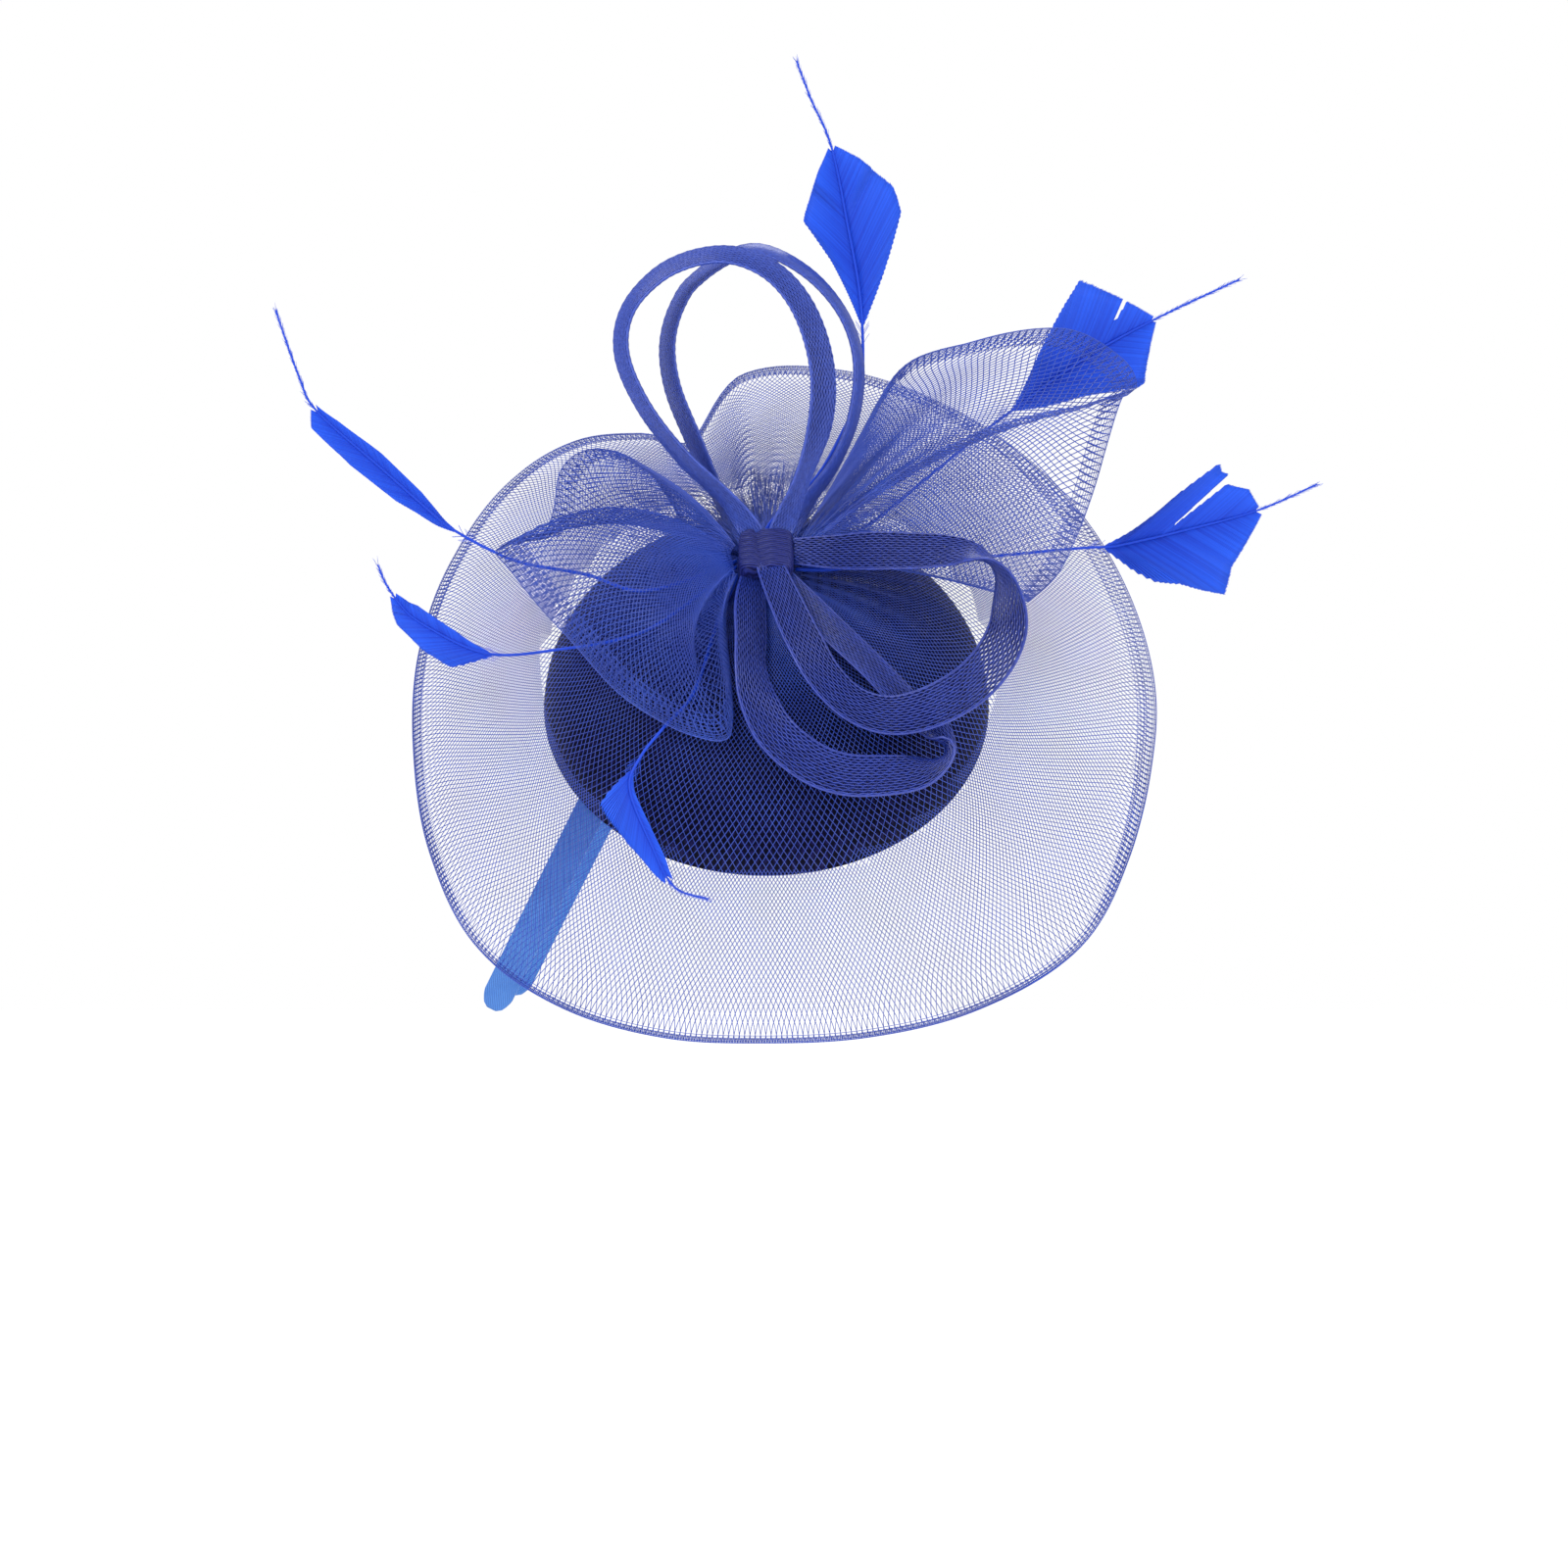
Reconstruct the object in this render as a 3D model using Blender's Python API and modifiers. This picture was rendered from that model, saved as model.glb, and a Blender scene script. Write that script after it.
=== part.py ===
# Fascinator: a small domed crown on a headband, a wide veil of crinoline net, two net ruffles,
# four ribbon loops in a satin knot and six trimmed feathers.
# Metres, +Z up. +X is the wearer's front, -Y the side that is seen. The origin is the middle of
# the crown's rim plane, where it sits on the head.

import math

import bmesh
import bpy
from mathutils import Vector

CROWN_TILT = math.radians(50)
CROWN_DIAMETER = 0.146
CROWN_HEIGHT = 0.040
CROWN_WALL = 0.002
CROWN_FULLNESS = 2.6
CROWN_SIDES = 48
CROWN_STEPS = 9

SEAT_GAP = 0.0003
NET_WALL = 0.001
NET_CLEARANCE = 0.0009

VEIL_REACH = 0.124
VEIL_RISE = 0.022
VEIL_SPOKES = 64
VEIL_RINGS = 9
VEIL_RING_SPREAD = 0.9
LEAVING_TRIES = 60

RUFFLE_LINES_PER_ROW = 3
RUFFLE_SPANS = 6

KNOT_WIDTH = 0.018
KNOT_HEIGHT = 0.013
KNOT_DEPTH = 0.0104
KNOT_LIFT = 0.0085
KNOT_PLACE = 0.0205
KNOT_GROOVE = 0.0013
KNOT_SQUARENESS = 0.5
KNOT_SWELL = 0.10
KNOT_SECTIONS = (-1, -0.8, -0.3, 0.3, 0.8, 1)
KNOT_SIDES = 28
GROOVE_PLACE = -0.3
GROOVE_SPREAD = 0.18
NECK_RADIUS = 0.004
NECK_SIDES = 20

RIBBON_WIDTH = 0.014
RIBBON_WALL = 0.001
RIBBON_STEP = 0.0065

STEM_RADIUS = 0.0007
VANE_WALL = 0.0011
STEM_TAPER = 0.45
BARB_TIP_THINNING = 0.6
FEATHER_STEP = 0.010
ROUTE_FINENESS = 12

BAND_WIDTH = 0.010
BAND_WALL = 0.002
BAND_RADIUS = 0.084
BAND_PAST_HALF = math.radians(12)
BAND_LIMB = 0.070
BAND_LEAN = math.radians(26.7)
BAND_OFFSET = -0.0353
BAND_ARC_STEPS = 30
BAND_LIMB_STEPS = 4
BAND_SEARCH_STEPS = 600
BAND_SEARCH_ROUNDS = 16
FACET = 0.0002

# The veil's rim, all round: angle in degrees from +X, reach as a share of VEIL_REACH,
# height as a share of VEIL_RISE. The two ends of the net part at 105 degrees.
VEIL_RIM = (
    (0, 1.035, 0.00),
    (20, 1.03, 0.34),
    (40, 1.04, 0.64),
    (60, 1.06, 0.87),
    (80, 1.08, 0.98),
    (94, 1.04, 1.00),
    (105, 0.80, 1.10),
    (112, 0.89, 0.95),
    (122, 0.965, 0.85),
    (134, 0.98, 0.72),
    (152, 0.955, 0.47),
    (172, 0.94, 0.14),
    (190, 0.945, -0.17),
    (208, 0.99, -0.47),
    (225, 1.045, -0.71),
    (240, 1.045, -0.87),
    (256, 1.02, -0.97),
    (270, 1.00, -1.00),
    (285, 1.02, -0.97),
    (300, 1.06, -0.87),
    (318, 1.095, -0.67),
    (335, 1.055, -0.42),
    (348, 1.035, -0.21),
)

# Routes are measured from the knot: across (+X), along (up the crown's slope) and lift (out from
# the net below), as shares of the piece's own reach.

KNOT_FACES = {"top": (0, 1, 0), "bottom": (0, -1, 0), "left": (-1, 0, 0), "right": (1, 0, 0)}

# Loops: reach, the knot's faces where they start and end, and rows of across, along, lift,
# width as a share of RIBBON_WIDTH, and lean in degrees from flat to the view (0) to edge-on (90).
LOOPS = {
    "upper_loop_front": {
        "reach": 0.100,
        "roots": ("top", "top"),
        "rows": (
            (-0.043, 0.068, 0.120, 0.54, 8),
            (-0.13, 0.17, 0.21, 0.66, 60),
            (-0.27, 0.27, 0.33, 1.00, 74),
            (-0.40, 0.38, 0.50, 1.00, 74),
            (-0.47, 0.51, 0.65, 1.00, 72),
            (-0.44, 0.62, 0.77, 1.00, 70),
            (-0.31, 0.71, 0.86, 1.00, 66),
            (-0.15, 0.73, 0.87, 1.00, 64),
            (0.01, 0.69, 0.82, 1.00, 60),
            (0.12, 0.60, 0.72, 1.00, 57),
            (0.18, 0.46, 0.58, 1.00, 56),
            (0.175, 0.32, 0.43, 1.00, 58),
            (0.11, 0.18, 0.26, 0.70, 60),
            (0.043, 0.068, 0.120, 0.54, 8),
        ),
    },
    "upper_loop_back": {
        "reach": 0.100,
        "roots": ("top", "top"),
        "rows": (
            (-0.043, 0.068, 0.073, 0.54, 8),
            (-0.13, 0.22, 0.11, 0.60, 60),
            (-0.24, 0.40, 0.31, 1.00, 70),
            (-0.31, 0.54, 0.46, 1.00, 70),
            (-0.32, 0.66, 0.59, 1.00, 70),
            (-0.26, 0.77, 0.70, 1.00, 70),
            (-0.13, 0.85, 0.75, 1.00, 70),
            (-0.01, 0.87, 0.76, 1.00, 72),
            (0.14, 0.81, 0.70, 1.00, 74),
            (0.25, 0.71, 0.61, 1.00, 77),
            (0.30, 0.60, 0.50, 1.00, 78),
            (0.29, 0.47, 0.37, 1.00, 78),
            (0.23, 0.33, 0.255, 0.90, 78),
            (0.13, 0.20, 0.155, 0.60, 60),
            (0.043, 0.068, 0.073, 0.54, 8),
        ),
    },
    "right_loop": {
        "reach": 0.080,
        "roots": ("right", "bottom"),
        "rows": (
            (0.116, 0.00, 0.136, 0.62, 12),
            (0.27, -0.04, 0.185, 0.85, 22),
            (0.43, -0.09, 0.27, 1.00, 27),
            (0.58, -0.125, 0.35, 1.00, 32),
            (0.72, -0.15, 0.43, 1.00, 42),
            (0.83, -0.18, 0.49, 1.00, 62),
            (0.91, -0.24, 0.52, 1.00, 92),
            (0.955, -0.34, 0.52, 1.00, 124),
            (0.965, -0.48, 0.49, 1.00, 150),
            (0.91, -0.60, 0.43, 1.00, 162),
            (0.80, -0.71, 0.36, 1.00, 166),
            (0.64, -0.79, 0.28, 1.00, 160),
            (0.48, -0.81, 0.21, 1.00, 150),
            (0.34, -0.76, 0.16, 1.00, 142),
            (0.23, -0.65, 0.15, 1.00, 142),
            (0.15, -0.49, 0.152, 0.95, 148),
            (0.08, -0.30, 0.15, 0.80, 158),
            (0.014, -0.085, 0.138, 0.62, 172),
        ),
    },
    "bottom_loop": {
        "reach": 0.080,
        "roots": ("bottom", "bottom"),
        "rows": (
            (-0.054, -0.085, 0.070, 0.54, 8),
            (-0.063, -0.25, 0.083, 0.80, 28),
            (-0.062, -0.42, 0.10, 0.95, 42),
            (-0.06, -0.58, 0.11, 1.00, 48),
            (-0.03, -0.74, 0.115, 1.00, 34),
            (0.04, -0.88, 0.125, 1.00, 24),
            (0.16, -0.98, 0.15, 1.00, 20),
            (0.31, -1.03, 0.18, 1.00, 20),
            (0.48, -1.02, 0.20, 1.00, 26),
            (0.62, -0.98, 0.205, 1.00, 44),
            (0.72, -0.89, 0.195, 1.00, 90),
            (0.68, -0.79, 0.155, 1.00, 126),
            (0.56, -0.67, 0.10, 0.90, 134),
            (0.42, -0.52, 0.07, 0.80, 138),
            (0.29, -0.38, 0.060, 0.75, 146),
            (0.17, -0.23, 0.064, 0.62, 158),
            (0.054, -0.085, 0.070, 0.54, 172),
        ),
    },
}

# Ruffles: one net sheet each, gathered at the knot's side. Rows run along the free edge: across,
# along, lift of the edge; then how far the sheet bellies across, along and out between knot and
# edge; then along and lift of the gathered root, as shares of KNOT_HEIGHT and KNOT_LIFT.
RUFFLES = {
    "left_ruffle": {
        "reach": 0.100,
        "side": -1,
        "rows": (
            (-0.26, 0.17, 0.06, 0.00, 0.02, 0.02, 0.46, 0.78),
            (-0.31, 0.28, 0.10, 0.00, 0.03, 0.03, 0.42, 0.78),
            (-0.39, 0.41, 0.16, 0.00, 0.03, 0.03, 0.38, 0.78),
            (-0.48, 0.48, 0.20, 0.00, 0.02, 0.02, 0.34, 0.78),
            (-0.57, 0.49, 0.23, 0.00, 0.01, 0.02, 0.30, 0.78),
            (-0.64, 0.46, 0.24, 0.00, 0.00, 0.01, 0.27, 0.78),
            (-0.685, 0.39, 0.23, 0.00, 0.00, 0.01, 0.24, 0.78),
            (-0.70, 0.27, 0.19, 0.00, 0.00, 0.01, 0.21, 0.80),
            (-0.74, 0.17, 0.18, 0.00, 0.05, 0.03, 0.18, 0.84),
            (-0.88, 0.08, 0.27, 0.00, 0.12, 0.06, 0.14, 0.90),
            (-0.83, -0.03, 0.27, -0.01, 0.09, 0.08, 0.08, 0.92),
            (-0.74, -0.17, 0.23, -0.02, 0.05, 0.09, 0.00, 0.94),
            (-0.64, -0.30, 0.18, -0.03, 0.02, 0.10, -0.08, 0.94),
            (-0.48, -0.50, 0.10, -0.04, 0.00, 0.10, -0.17, 0.94),
            (-0.32, -0.63, 0.07, -0.06, -0.01, 0.09, -0.26, 0.94),
            (-0.19, -0.69, 0.06, -0.09, 0.00, 0.07, -0.34, 0.94),
            (-0.12, -0.69, 0.055, -0.12, 0.01, 0.05, -0.42, 0.94),
            (-0.105, -0.62, 0.045, -0.06, 0.02, 0.03, -0.46, 0.90),
            (-0.11, -0.50, 0.035, -0.035, 0.02, 0.02, -0.47, 0.85),
            (-0.12, -0.38, 0.030, -0.02, 0.01, 0.015, -0.48, 0.78),
        ),
    },
    "right_ruffle": {
        "reach": 0.140,
        "side": 1,
        "rows": (
            (0.15, 0.14, 0.025, 0.01, 0.00, 0.00, 0.47, 0.74),
            (0.20, 0.34, 0.065, 0.01, 0.00, 0.00, 0.44, 0.74),
            (0.27, 0.55, 0.12, 0.00, 0.00, -0.01, 0.41, 0.74),
            (0.35, 0.635, 0.19, 0.00, 0.00, -0.01, 0.38, 0.74),
            (0.51, 0.67, 0.25, 0.00, 0.01, 0.01, 0.34, 0.74),
            (0.65, 0.65, 0.32, 0.00, 0.00, 0.03, 0.30, 0.74),
            (0.75, 0.62, 0.345, 0.00, 0.00, 0.04, 0.26, 0.75),
            (0.85, 0.54, 0.345, 0.00, 0.02, 0.05, 0.22, 0.76),
            (0.875, 0.465, 0.345, 0.00, 0.03, 0.06, 0.18, 0.79),
            (0.84, 0.41, 0.375, 0.00, 0.05, 0.07, 0.14, 0.84),
            (0.805, 0.32, 0.335, 0.00, 0.05, 0.07, 0.06, 0.86),
            (0.77, 0.22, 0.26, 0.00, 0.04, 0.06, -0.04, 0.87),
            (0.73, 0.12, 0.20, 0.00, 0.025, 0.05, -0.14, 0.87),
            (0.68, 0.02, 0.15, 0.00, 0.02, 0.04, -0.24, 0.87),
            (0.61, -0.06, 0.12, 0.00, 0.00, 0.015, -0.34, 0.87),
        ),
    },
}

# Feathers: route rows of across, along, lift; vane rows of place along the feather, then the
# barbs' length to the left and right of the stem, all as shares of the feather's length.
FEATHERS = {
    "feather_top": {
        "length": 0.165,
        "root": "top",
        "barb_angle": (35, 35),
        "route": (
            (0.002, 0.0425, 0.0585),
            (0.008, 0.08, 0.070),
            (0.10, 0.20, 0.10),
            (0.16, 0.31, 0.16),
            (0.19, 0.38, 0.20),
            (0.19, 0.52, 0.31),
            (0.165, 0.65, 0.42),
            (0.13, 0.78, 0.53),
            (0.09, 0.84, 0.60),
            (0.06, 0.89, 0.66),
        ),
        "vane": (
            (0.49, 0.000, 0.000),
            (0.56, 0.080, 0.180),
            (0.59, 0.150, 0.180),
            (0.61, 0.140, 0.175),
            (0.74, 0.065, 0.080),
            (0.82, 0.010, 0.012),
            (1.00, 0.008, 0.008),
        ),
    },
    "feather_upper_right": {
        "length": 0.180,
        "root": "right",
        "barb_angle": (35, 35),
        "route": (
            (0.052, 0.022, 0.023),
            (0.11, 0.06, 0.024),
            (0.19, 0.13, 0.030),
            (0.32, 0.29, 0.055),
            (0.46, 0.42, 0.12),
            (0.59, 0.50, 0.18),
            (0.73, 0.56, 0.235),
            (0.88, 0.61, 0.29),
        ),
        "vane": (
            (0.54, 0.000, 0.000),
            (0.60, 0.170, 0.187),
            (0.615, 0.210, 0.180),
            (0.73, 0.111, 0.105),
            (0.79, 0.050, 0.055),
            (0.83, 0.010, 0.010),
            (1.00, 0.006, 0.006),
        ),
    },
    "feather_right": {
        "length": 0.185,
        "root": "right",
        "barb_angle": (28, 45),
        "route": (
            (0.051, -0.010, 0.022),
            (0.11, -0.002, 0.018),
            (0.20, 0.03, 0.018),
            (0.39, 0.10, 0.022),
            (0.58, 0.17, 0.035),
            (0.73, 0.20, 0.06),
            (0.88, 0.23, 0.09),
            (0.99, 0.26, 0.13),
        ),
        "vane": (
            (0.60, 0.000, 0.000),
            (0.62, 0.090, 0.100),
            (0.645, 0.220, 0.150),
            (0.67, 0.190, 0.178),
            (0.70, 0.170, 0.150),
            (0.71, 0.015, 0.140),
            (0.73, 0.130, 0.120),
            (0.80, 0.090, 0.070),
            (0.88, 0.010, 0.012),
            (1.00, 0.006, 0.006),
        ),
    },
    "feather_left_upper": {
        "length": 0.190,
        "root": "left",
        "barb_angle": (24, 24),
        "route": (
            (-0.050, 0.012, 0.022),
            (-0.10, -0.01, 0.014),
            (-0.21, -0.03, 0.012),
            (-0.31, 0.04, 0.018),
            (-0.42, 0.09, 0.035),
            (-0.48, 0.12, 0.06),
            (-0.55, 0.16, 0.10),
            (-0.67, 0.23, 0.18),
            (-0.78, 0.29, 0.26),
            (-0.81, 0.33, 0.30),
            (-0.85, 0.41, 0.38),
        ),
        "vane": (
            (0.52, 0.000, 0.000),
            (0.58, 0.060, 0.035),
            (0.66, 0.075, 0.045),
            (0.76, 0.060, 0.030),
            (0.82, 0.012, 0.012),
            (1.00, 0.004, 0.004),
        ),
    },
    "feather_left_lower": {
        "length": 0.140,
        "root": "left",
        "barb_angle": (30, 40),
        "route": (
            (-0.068, -0.006, 0.030),
            (-0.14, -0.07, 0.020),
            (-0.25, -0.16, 0.018),
            (-0.34, -0.19, 0.030),
            (-0.46, -0.19, 0.06),
            (-0.64, -0.18, 0.12),
            (-0.79, -0.13, 0.23),
            (-0.87, -0.07, 0.29),
            (-0.90, -0.02, 0.32),
        ),
        "vane": (
            (0.64, 0.000, 0.000),
            (0.655, 0.090, 0.010),
            (0.72, 0.090, 0.035),
            (0.82, 0.060, 0.045),
            (0.91, 0.012, 0.010),
            (1.00, 0.005, 0.005),
        ),
    },
    "feather_bottom": {
        "length": 0.120,
        "root": "left",
        "barb_angle": (30, 30),
        "route": (
            (-0.076, -0.036, 0.034),
            (-0.13, -0.20, 0.022),
            (-0.19, -0.42, 0.022),
            (-0.27, -0.52, 0.042),
            (-0.33, -0.60, 0.08),
            (-0.36, -0.69, 0.11),
            (-0.30, -0.84, 0.13),
            (-0.24, -0.94, 0.14),
            (-0.15, -0.97, 0.14),
        ),
        "vane": (
            (0.60, 0.000, 0.000),
            (0.62, 0.020, 0.110),
            (0.70, 0.030, 0.100),
            (0.82, 0.035, 0.050),
            (0.88, 0.020, 0.020),
            (1.00, 0.010, 0.010),
        ),
    },
}

NAVY_NET = (0.012, 0.014, 0.115)
BLUE_NET = (0.06, 0.10, 0.42)
SATIN = (0.018, 0.035, 0.33)
DARK_SATIN = (0.012, 0.018, 0.20)
FEATHER_BLUE = (0.010, 0.055, 0.72)
BAND_BLUE = (0.045, 0.17, 0.60)

# The line of sight, in the crown's own axes.
TOWARD_VIEWER = Vector((0, -math.cos(CROWN_TILT), math.sin(CROWN_TILT)))
# The crown's axis and its uphill way, and the plane that the headband lies in.
CROWN_AXIS = Vector((0, -math.sin(CROWN_TILT), math.cos(CROWN_TILT)))
CROWN_UP = Vector((0, math.cos(CROWN_TILT), math.sin(CROWN_TILT)))
BAND_UP = Vector((math.sin(BAND_LEAN), 0, math.cos(BAND_LEAN)))
BAND_ACROSS = Vector((math.cos(BAND_LEAN), 0, -math.sin(BAND_LEAN)))
BAND_AWAY = Vector((0, 1, 0))


def clear_scene():
    for item in list(bpy.data.objects):
        bpy.data.objects.remove(item, do_unlink=True)


def material(name, colour, roughness):
    finish = bpy.data.materials.new(name)
    finish.use_nodes = True
    shader = finish.node_tree.nodes["Principled BSDF"]
    shader.inputs["Base Color"].default_value = (*colour, 1)
    shader.inputs["Roughness"].default_value = roughness
    shader.inputs["Metallic"].default_value = 0
    return finish


def ease(before, start, end, after, t):
    """A smooth curve from start to end that heads the way its neighbours do."""
    return 0.5 * (
        2 * start
        + (end - before) * t
        + (2 * before - 5 * start + 4 * end - after) * t**2
        + (3 * start - before - 3 * end + after) * t**3
    )


def smooth_row(rows, place):
    """The row at a fractional index of an open table, each column eased."""
    first = min(int(place), len(rows) - 2)
    picks = [rows[min(max(first + step, 0), len(rows) - 1)] for step in (-1, 0, 1, 2)]
    return [ease(*column, place - first) for column in zip(*picks)]


def rim_at(angle):
    """Reach and height of the veil's rim at an angle in degrees."""
    angle = angle % 360
    count = len(VEIL_RIM)
    first = max(index for index in range(count) if VEIL_RIM[index][0] <= angle)
    span = (VEIL_RIM[(first + 1) % count][0] - VEIL_RIM[first][0]) % 360
    t = (angle - VEIL_RIM[first][0]) / span
    picks = [VEIL_RIM[(first + step) % count] for step in (-1, 0, 1, 2)]
    reach = ease(*[row[1] for row in picks], t)
    rise = ease(*[row[2] for row in picks], t)
    return reach * VEIL_REACH, rise * VEIL_RISE


def dome(radius, grow=0.0):
    """Height of the crown's outside at a radius, or of a dome that lies grow outside it."""
    share = min(abs(radius) / (CROWN_DIAMETER / 2 + grow), 1.0)
    return (CROWN_HEIGHT + grow) * math.sqrt(1 - share**CROWN_FULLNESS)


def net_height(across, along):
    """Height of the veil's middle: over the dome, then straight from where it leaves to the rim."""
    radius = math.hypot(across, along)
    reach, rim_height = rim_at(math.degrees(math.atan2(along, across)))
    grow = NET_CLEARANCE + NET_WALL / 2
    outer = CROWN_DIAMETER / 2 + grow
    tries = [outer * step / LEAVING_TRIES for step in range(LEAVING_TRIES + 1)]
    slope, leaves_at = max(((dome(r, grow) - rim_height) / (reach - r), r) for r in tries)
    if radius <= leaves_at:
        return dome(radius, grow)
    return rim_height + slope * max(reach - radius, 0)


def over_net(across, along, lift):
    """A point measured from the knot's foot, with its lift out from the net."""
    place = KNOT_PLACE + along
    return Vector((across, place, net_height(across, place) + lift))


def knot_half_width(lift):
    share = (lift - KNOT_LIFT) / (KNOT_DEPTH / 2)
    return KNOT_WIDTH / 2 * max(1 - abs(share) ** 4, 0) ** 0.25


def mesh_object(name, points, faces, finish, parent, collection, flat=False):
    mesh = bpy.data.meshes.new(name)
    mesh.from_pydata([tuple(point) for point in points], [], faces)
    mesh.materials.append(finish)
    item = bpy.data.objects.new(name, mesh)
    collection.objects.link(item)
    item.parent = parent
    if not flat:
        mesh.shade_smooth()
    return item


def thicken(item, wall):
    """Give an open sheet its wall, half to each side."""
    shell = item.modifiers.new("wall", "SOLIDIFY")
    shell.thickness = wall
    shell.offset = 0
    shell.use_even_offset = False
    return item


def grid_faces(rows, columns, closed=False):
    """Quads of a grid of rows by columns; a closed one joins its last row to its first."""
    faces = []
    for row in range(rows if closed else rows - 1):
        here, there = row * columns, (row + 1) % rows * columns
        for column in range(columns - 1):
            faces.append((here + column, there + column, there + column + 1, here + column + 1))
    return faces


def loft_faces(sections, size):
    """Quads between closed sections of equal size, with a cap at both ends."""
    faces = []
    for section in range(sections - 1):
        here, there = section * size, (section + 1) * size
        for point in range(size):
            after = (point + 1) % size
            faces.append((here + point, here + after, there + after, there + point))
    last = (sections - 1) * size
    faces.append(tuple(reversed(range(size))))
    faces.append(tuple(range(last, last + size)))
    return faces


def face_out(item):
    """Turn a closed shape's faces outwards."""
    edit = bmesh.new()
    edit.from_mesh(item.data)
    bmesh.ops.recalc_face_normals(edit, faces=edit.faces)
    edit.to_mesh(item.data)
    edit.free()
    return item


def build_base(seat, finish, collection):
    """The crown: a dome turned about its axis, hollow below."""
    outside = []
    inside = []
    for step in range(CROWN_STEPS + 1):
        turn = math.pi / 2 * step / CROWN_STEPS
        share = math.cos(turn) ** (2 / CROWN_FULLNESS)
        outside.append((CROWN_DIAMETER / 2 * share, CROWN_HEIGHT * math.sin(turn)))
        inside.append(
            ((CROWN_DIAMETER / 2 - CROWN_WALL) * share, (CROWN_HEIGHT - CROWN_WALL) * math.sin(turn))
        )
    profile = [(radius, 0, height) for radius, height in reversed(outside)]
    profile += [(radius, 0, height) for radius, height in inside]
    mesh = bpy.data.meshes.new("base")
    mesh.from_pydata(profile, [(i, i + 1) for i in range(len(profile) - 1)], [])
    mesh.materials.append(finish)
    base = bpy.data.objects.new("base", mesh)
    collection.objects.link(base)
    base.parent = seat
    turned = base.modifiers.new("turned", "SCREW")
    turned.steps = CROWN_SIDES
    turned.render_steps = CROWN_SIDES
    turned.use_merge_vertices = True
    turned.merge_threshold = 0.0001
    return base


def build_veil(seat, finish, collection):
    """The spread net: spokes from the knot's foot to the rim, with a hole for the knot's neck."""
    points = []
    hole = NECK_RADIUS + SEAT_GAP + NET_WALL / 2
    for spoke in range(VEIL_SPOKES):
        angle = 360 * spoke / VEIL_SPOKES
        reach, _ = rim_at(angle)
        heading = math.radians(angle)
        end = Vector((reach * math.cos(heading), reach * math.sin(heading) - KNOT_PLACE))
        start = end.normalized() * hole
        for ring in range(VEIL_RINGS + 1):
            share = (ring / VEIL_RINGS) ** VEIL_RING_SPREAD
            spot = start.lerp(end, share)
            points.append(over_net(spot.x, spot.y, 0))
    faces = grid_faces(VEIL_SPOKES, VEIL_RINGS + 1, closed=True)
    veil = mesh_object("veil", points, faces, finish, seat, collection)
    return thicken(veil, NET_WALL)


def build_ruffle(name, plan, seat, finish, collection):
    """A net petal: lines from its gathered root at the knot's side to its free edge."""
    rows, reach, side = plan["rows"], plan["reach"], plan["side"]
    lines = RUFFLE_LINES_PER_ROW * (len(rows) - 1) + 1
    points = []
    for line in range(lines):
        across, along, lift, belly_across, belly_along, belly_out, root_along, root_lift = smooth_row(
            rows, line / RUFFLE_LINES_PER_ROW
        )
        root_height = root_lift * KNOT_LIFT
        root = Vector(
            (
                side * (knot_half_width(root_height) + SEAT_GAP),
                root_along * KNOT_HEIGHT,
                root_height,
            )
        )
        edge = Vector((across, along, lift)) * reach
        belly = Vector((belly_across, belly_along, belly_out)) * reach
        for span in range(RUFFLE_SPANS + 1):
            share = span / RUFFLE_SPANS
            spot = root.lerp(edge, share) + belly * math.sin(math.pi * share)
            points.append(over_net(*spot))
    sheet = mesh_object(name, points, grid_faces(lines, RUFFLE_SPANS + 1), finish, seat, collection)
    return thicken(sheet, NET_WALL)


def route_points(rows, reach, step):
    """Evenly spaced points on the smooth curve through a route's rows, with the other columns."""
    fine = ROUTE_FINENESS * (len(rows) - 1)
    samples = [smooth_row(rows, index / ROUTE_FINENESS) for index in range(fine + 1)]
    spots = [over_net(*(Vector(row[:3]) * reach)) for row in samples]
    lengths = [0.0]
    for before, after in zip(spots, spots[1:]):
        lengths.append(lengths[-1] + (after - before).length)
    count = max(int(round(lengths[-1] / step)), 2)
    result = []
    for index in range(count + 1):
        wanted = lengths[-1] * index / count
        low = max(i for i in range(len(lengths)) if lengths[i] <= wanted + 1e-9)
        low = min(low, len(lengths) - 2)
        share = (wanted - lengths[low]) / (lengths[low + 1] - lengths[low])
        columns = [a + (b - a) * share for a, b in zip(samples[low][3:], samples[low + 1][3:])]
        result.append((spots[low].lerp(spots[low + 1], share), index / count, columns))
    return result


def frames(points, start=None, end=None):
    """For each point: the way along, the side in the view plane, and the way to the viewer.

    A root's section lies flat on the knot's face that it leaves or comes back to.
    """
    result = []
    for index, point in enumerate(points):
        after = points[min(index + 1, len(points) - 1)]
        before = points[max(index - 1, 0)]
        way = (after - before).normalized()
        if start and index == 0:
            way = Vector(KNOT_FACES[start])
        if end and index == len(points) - 1:
            way = -Vector(KNOT_FACES[end])
        side = way.cross(TOWARD_VIEWER).normalized()
        out = side.cross(way).normalized()
        result.append((way, side, out))
    return result


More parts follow.
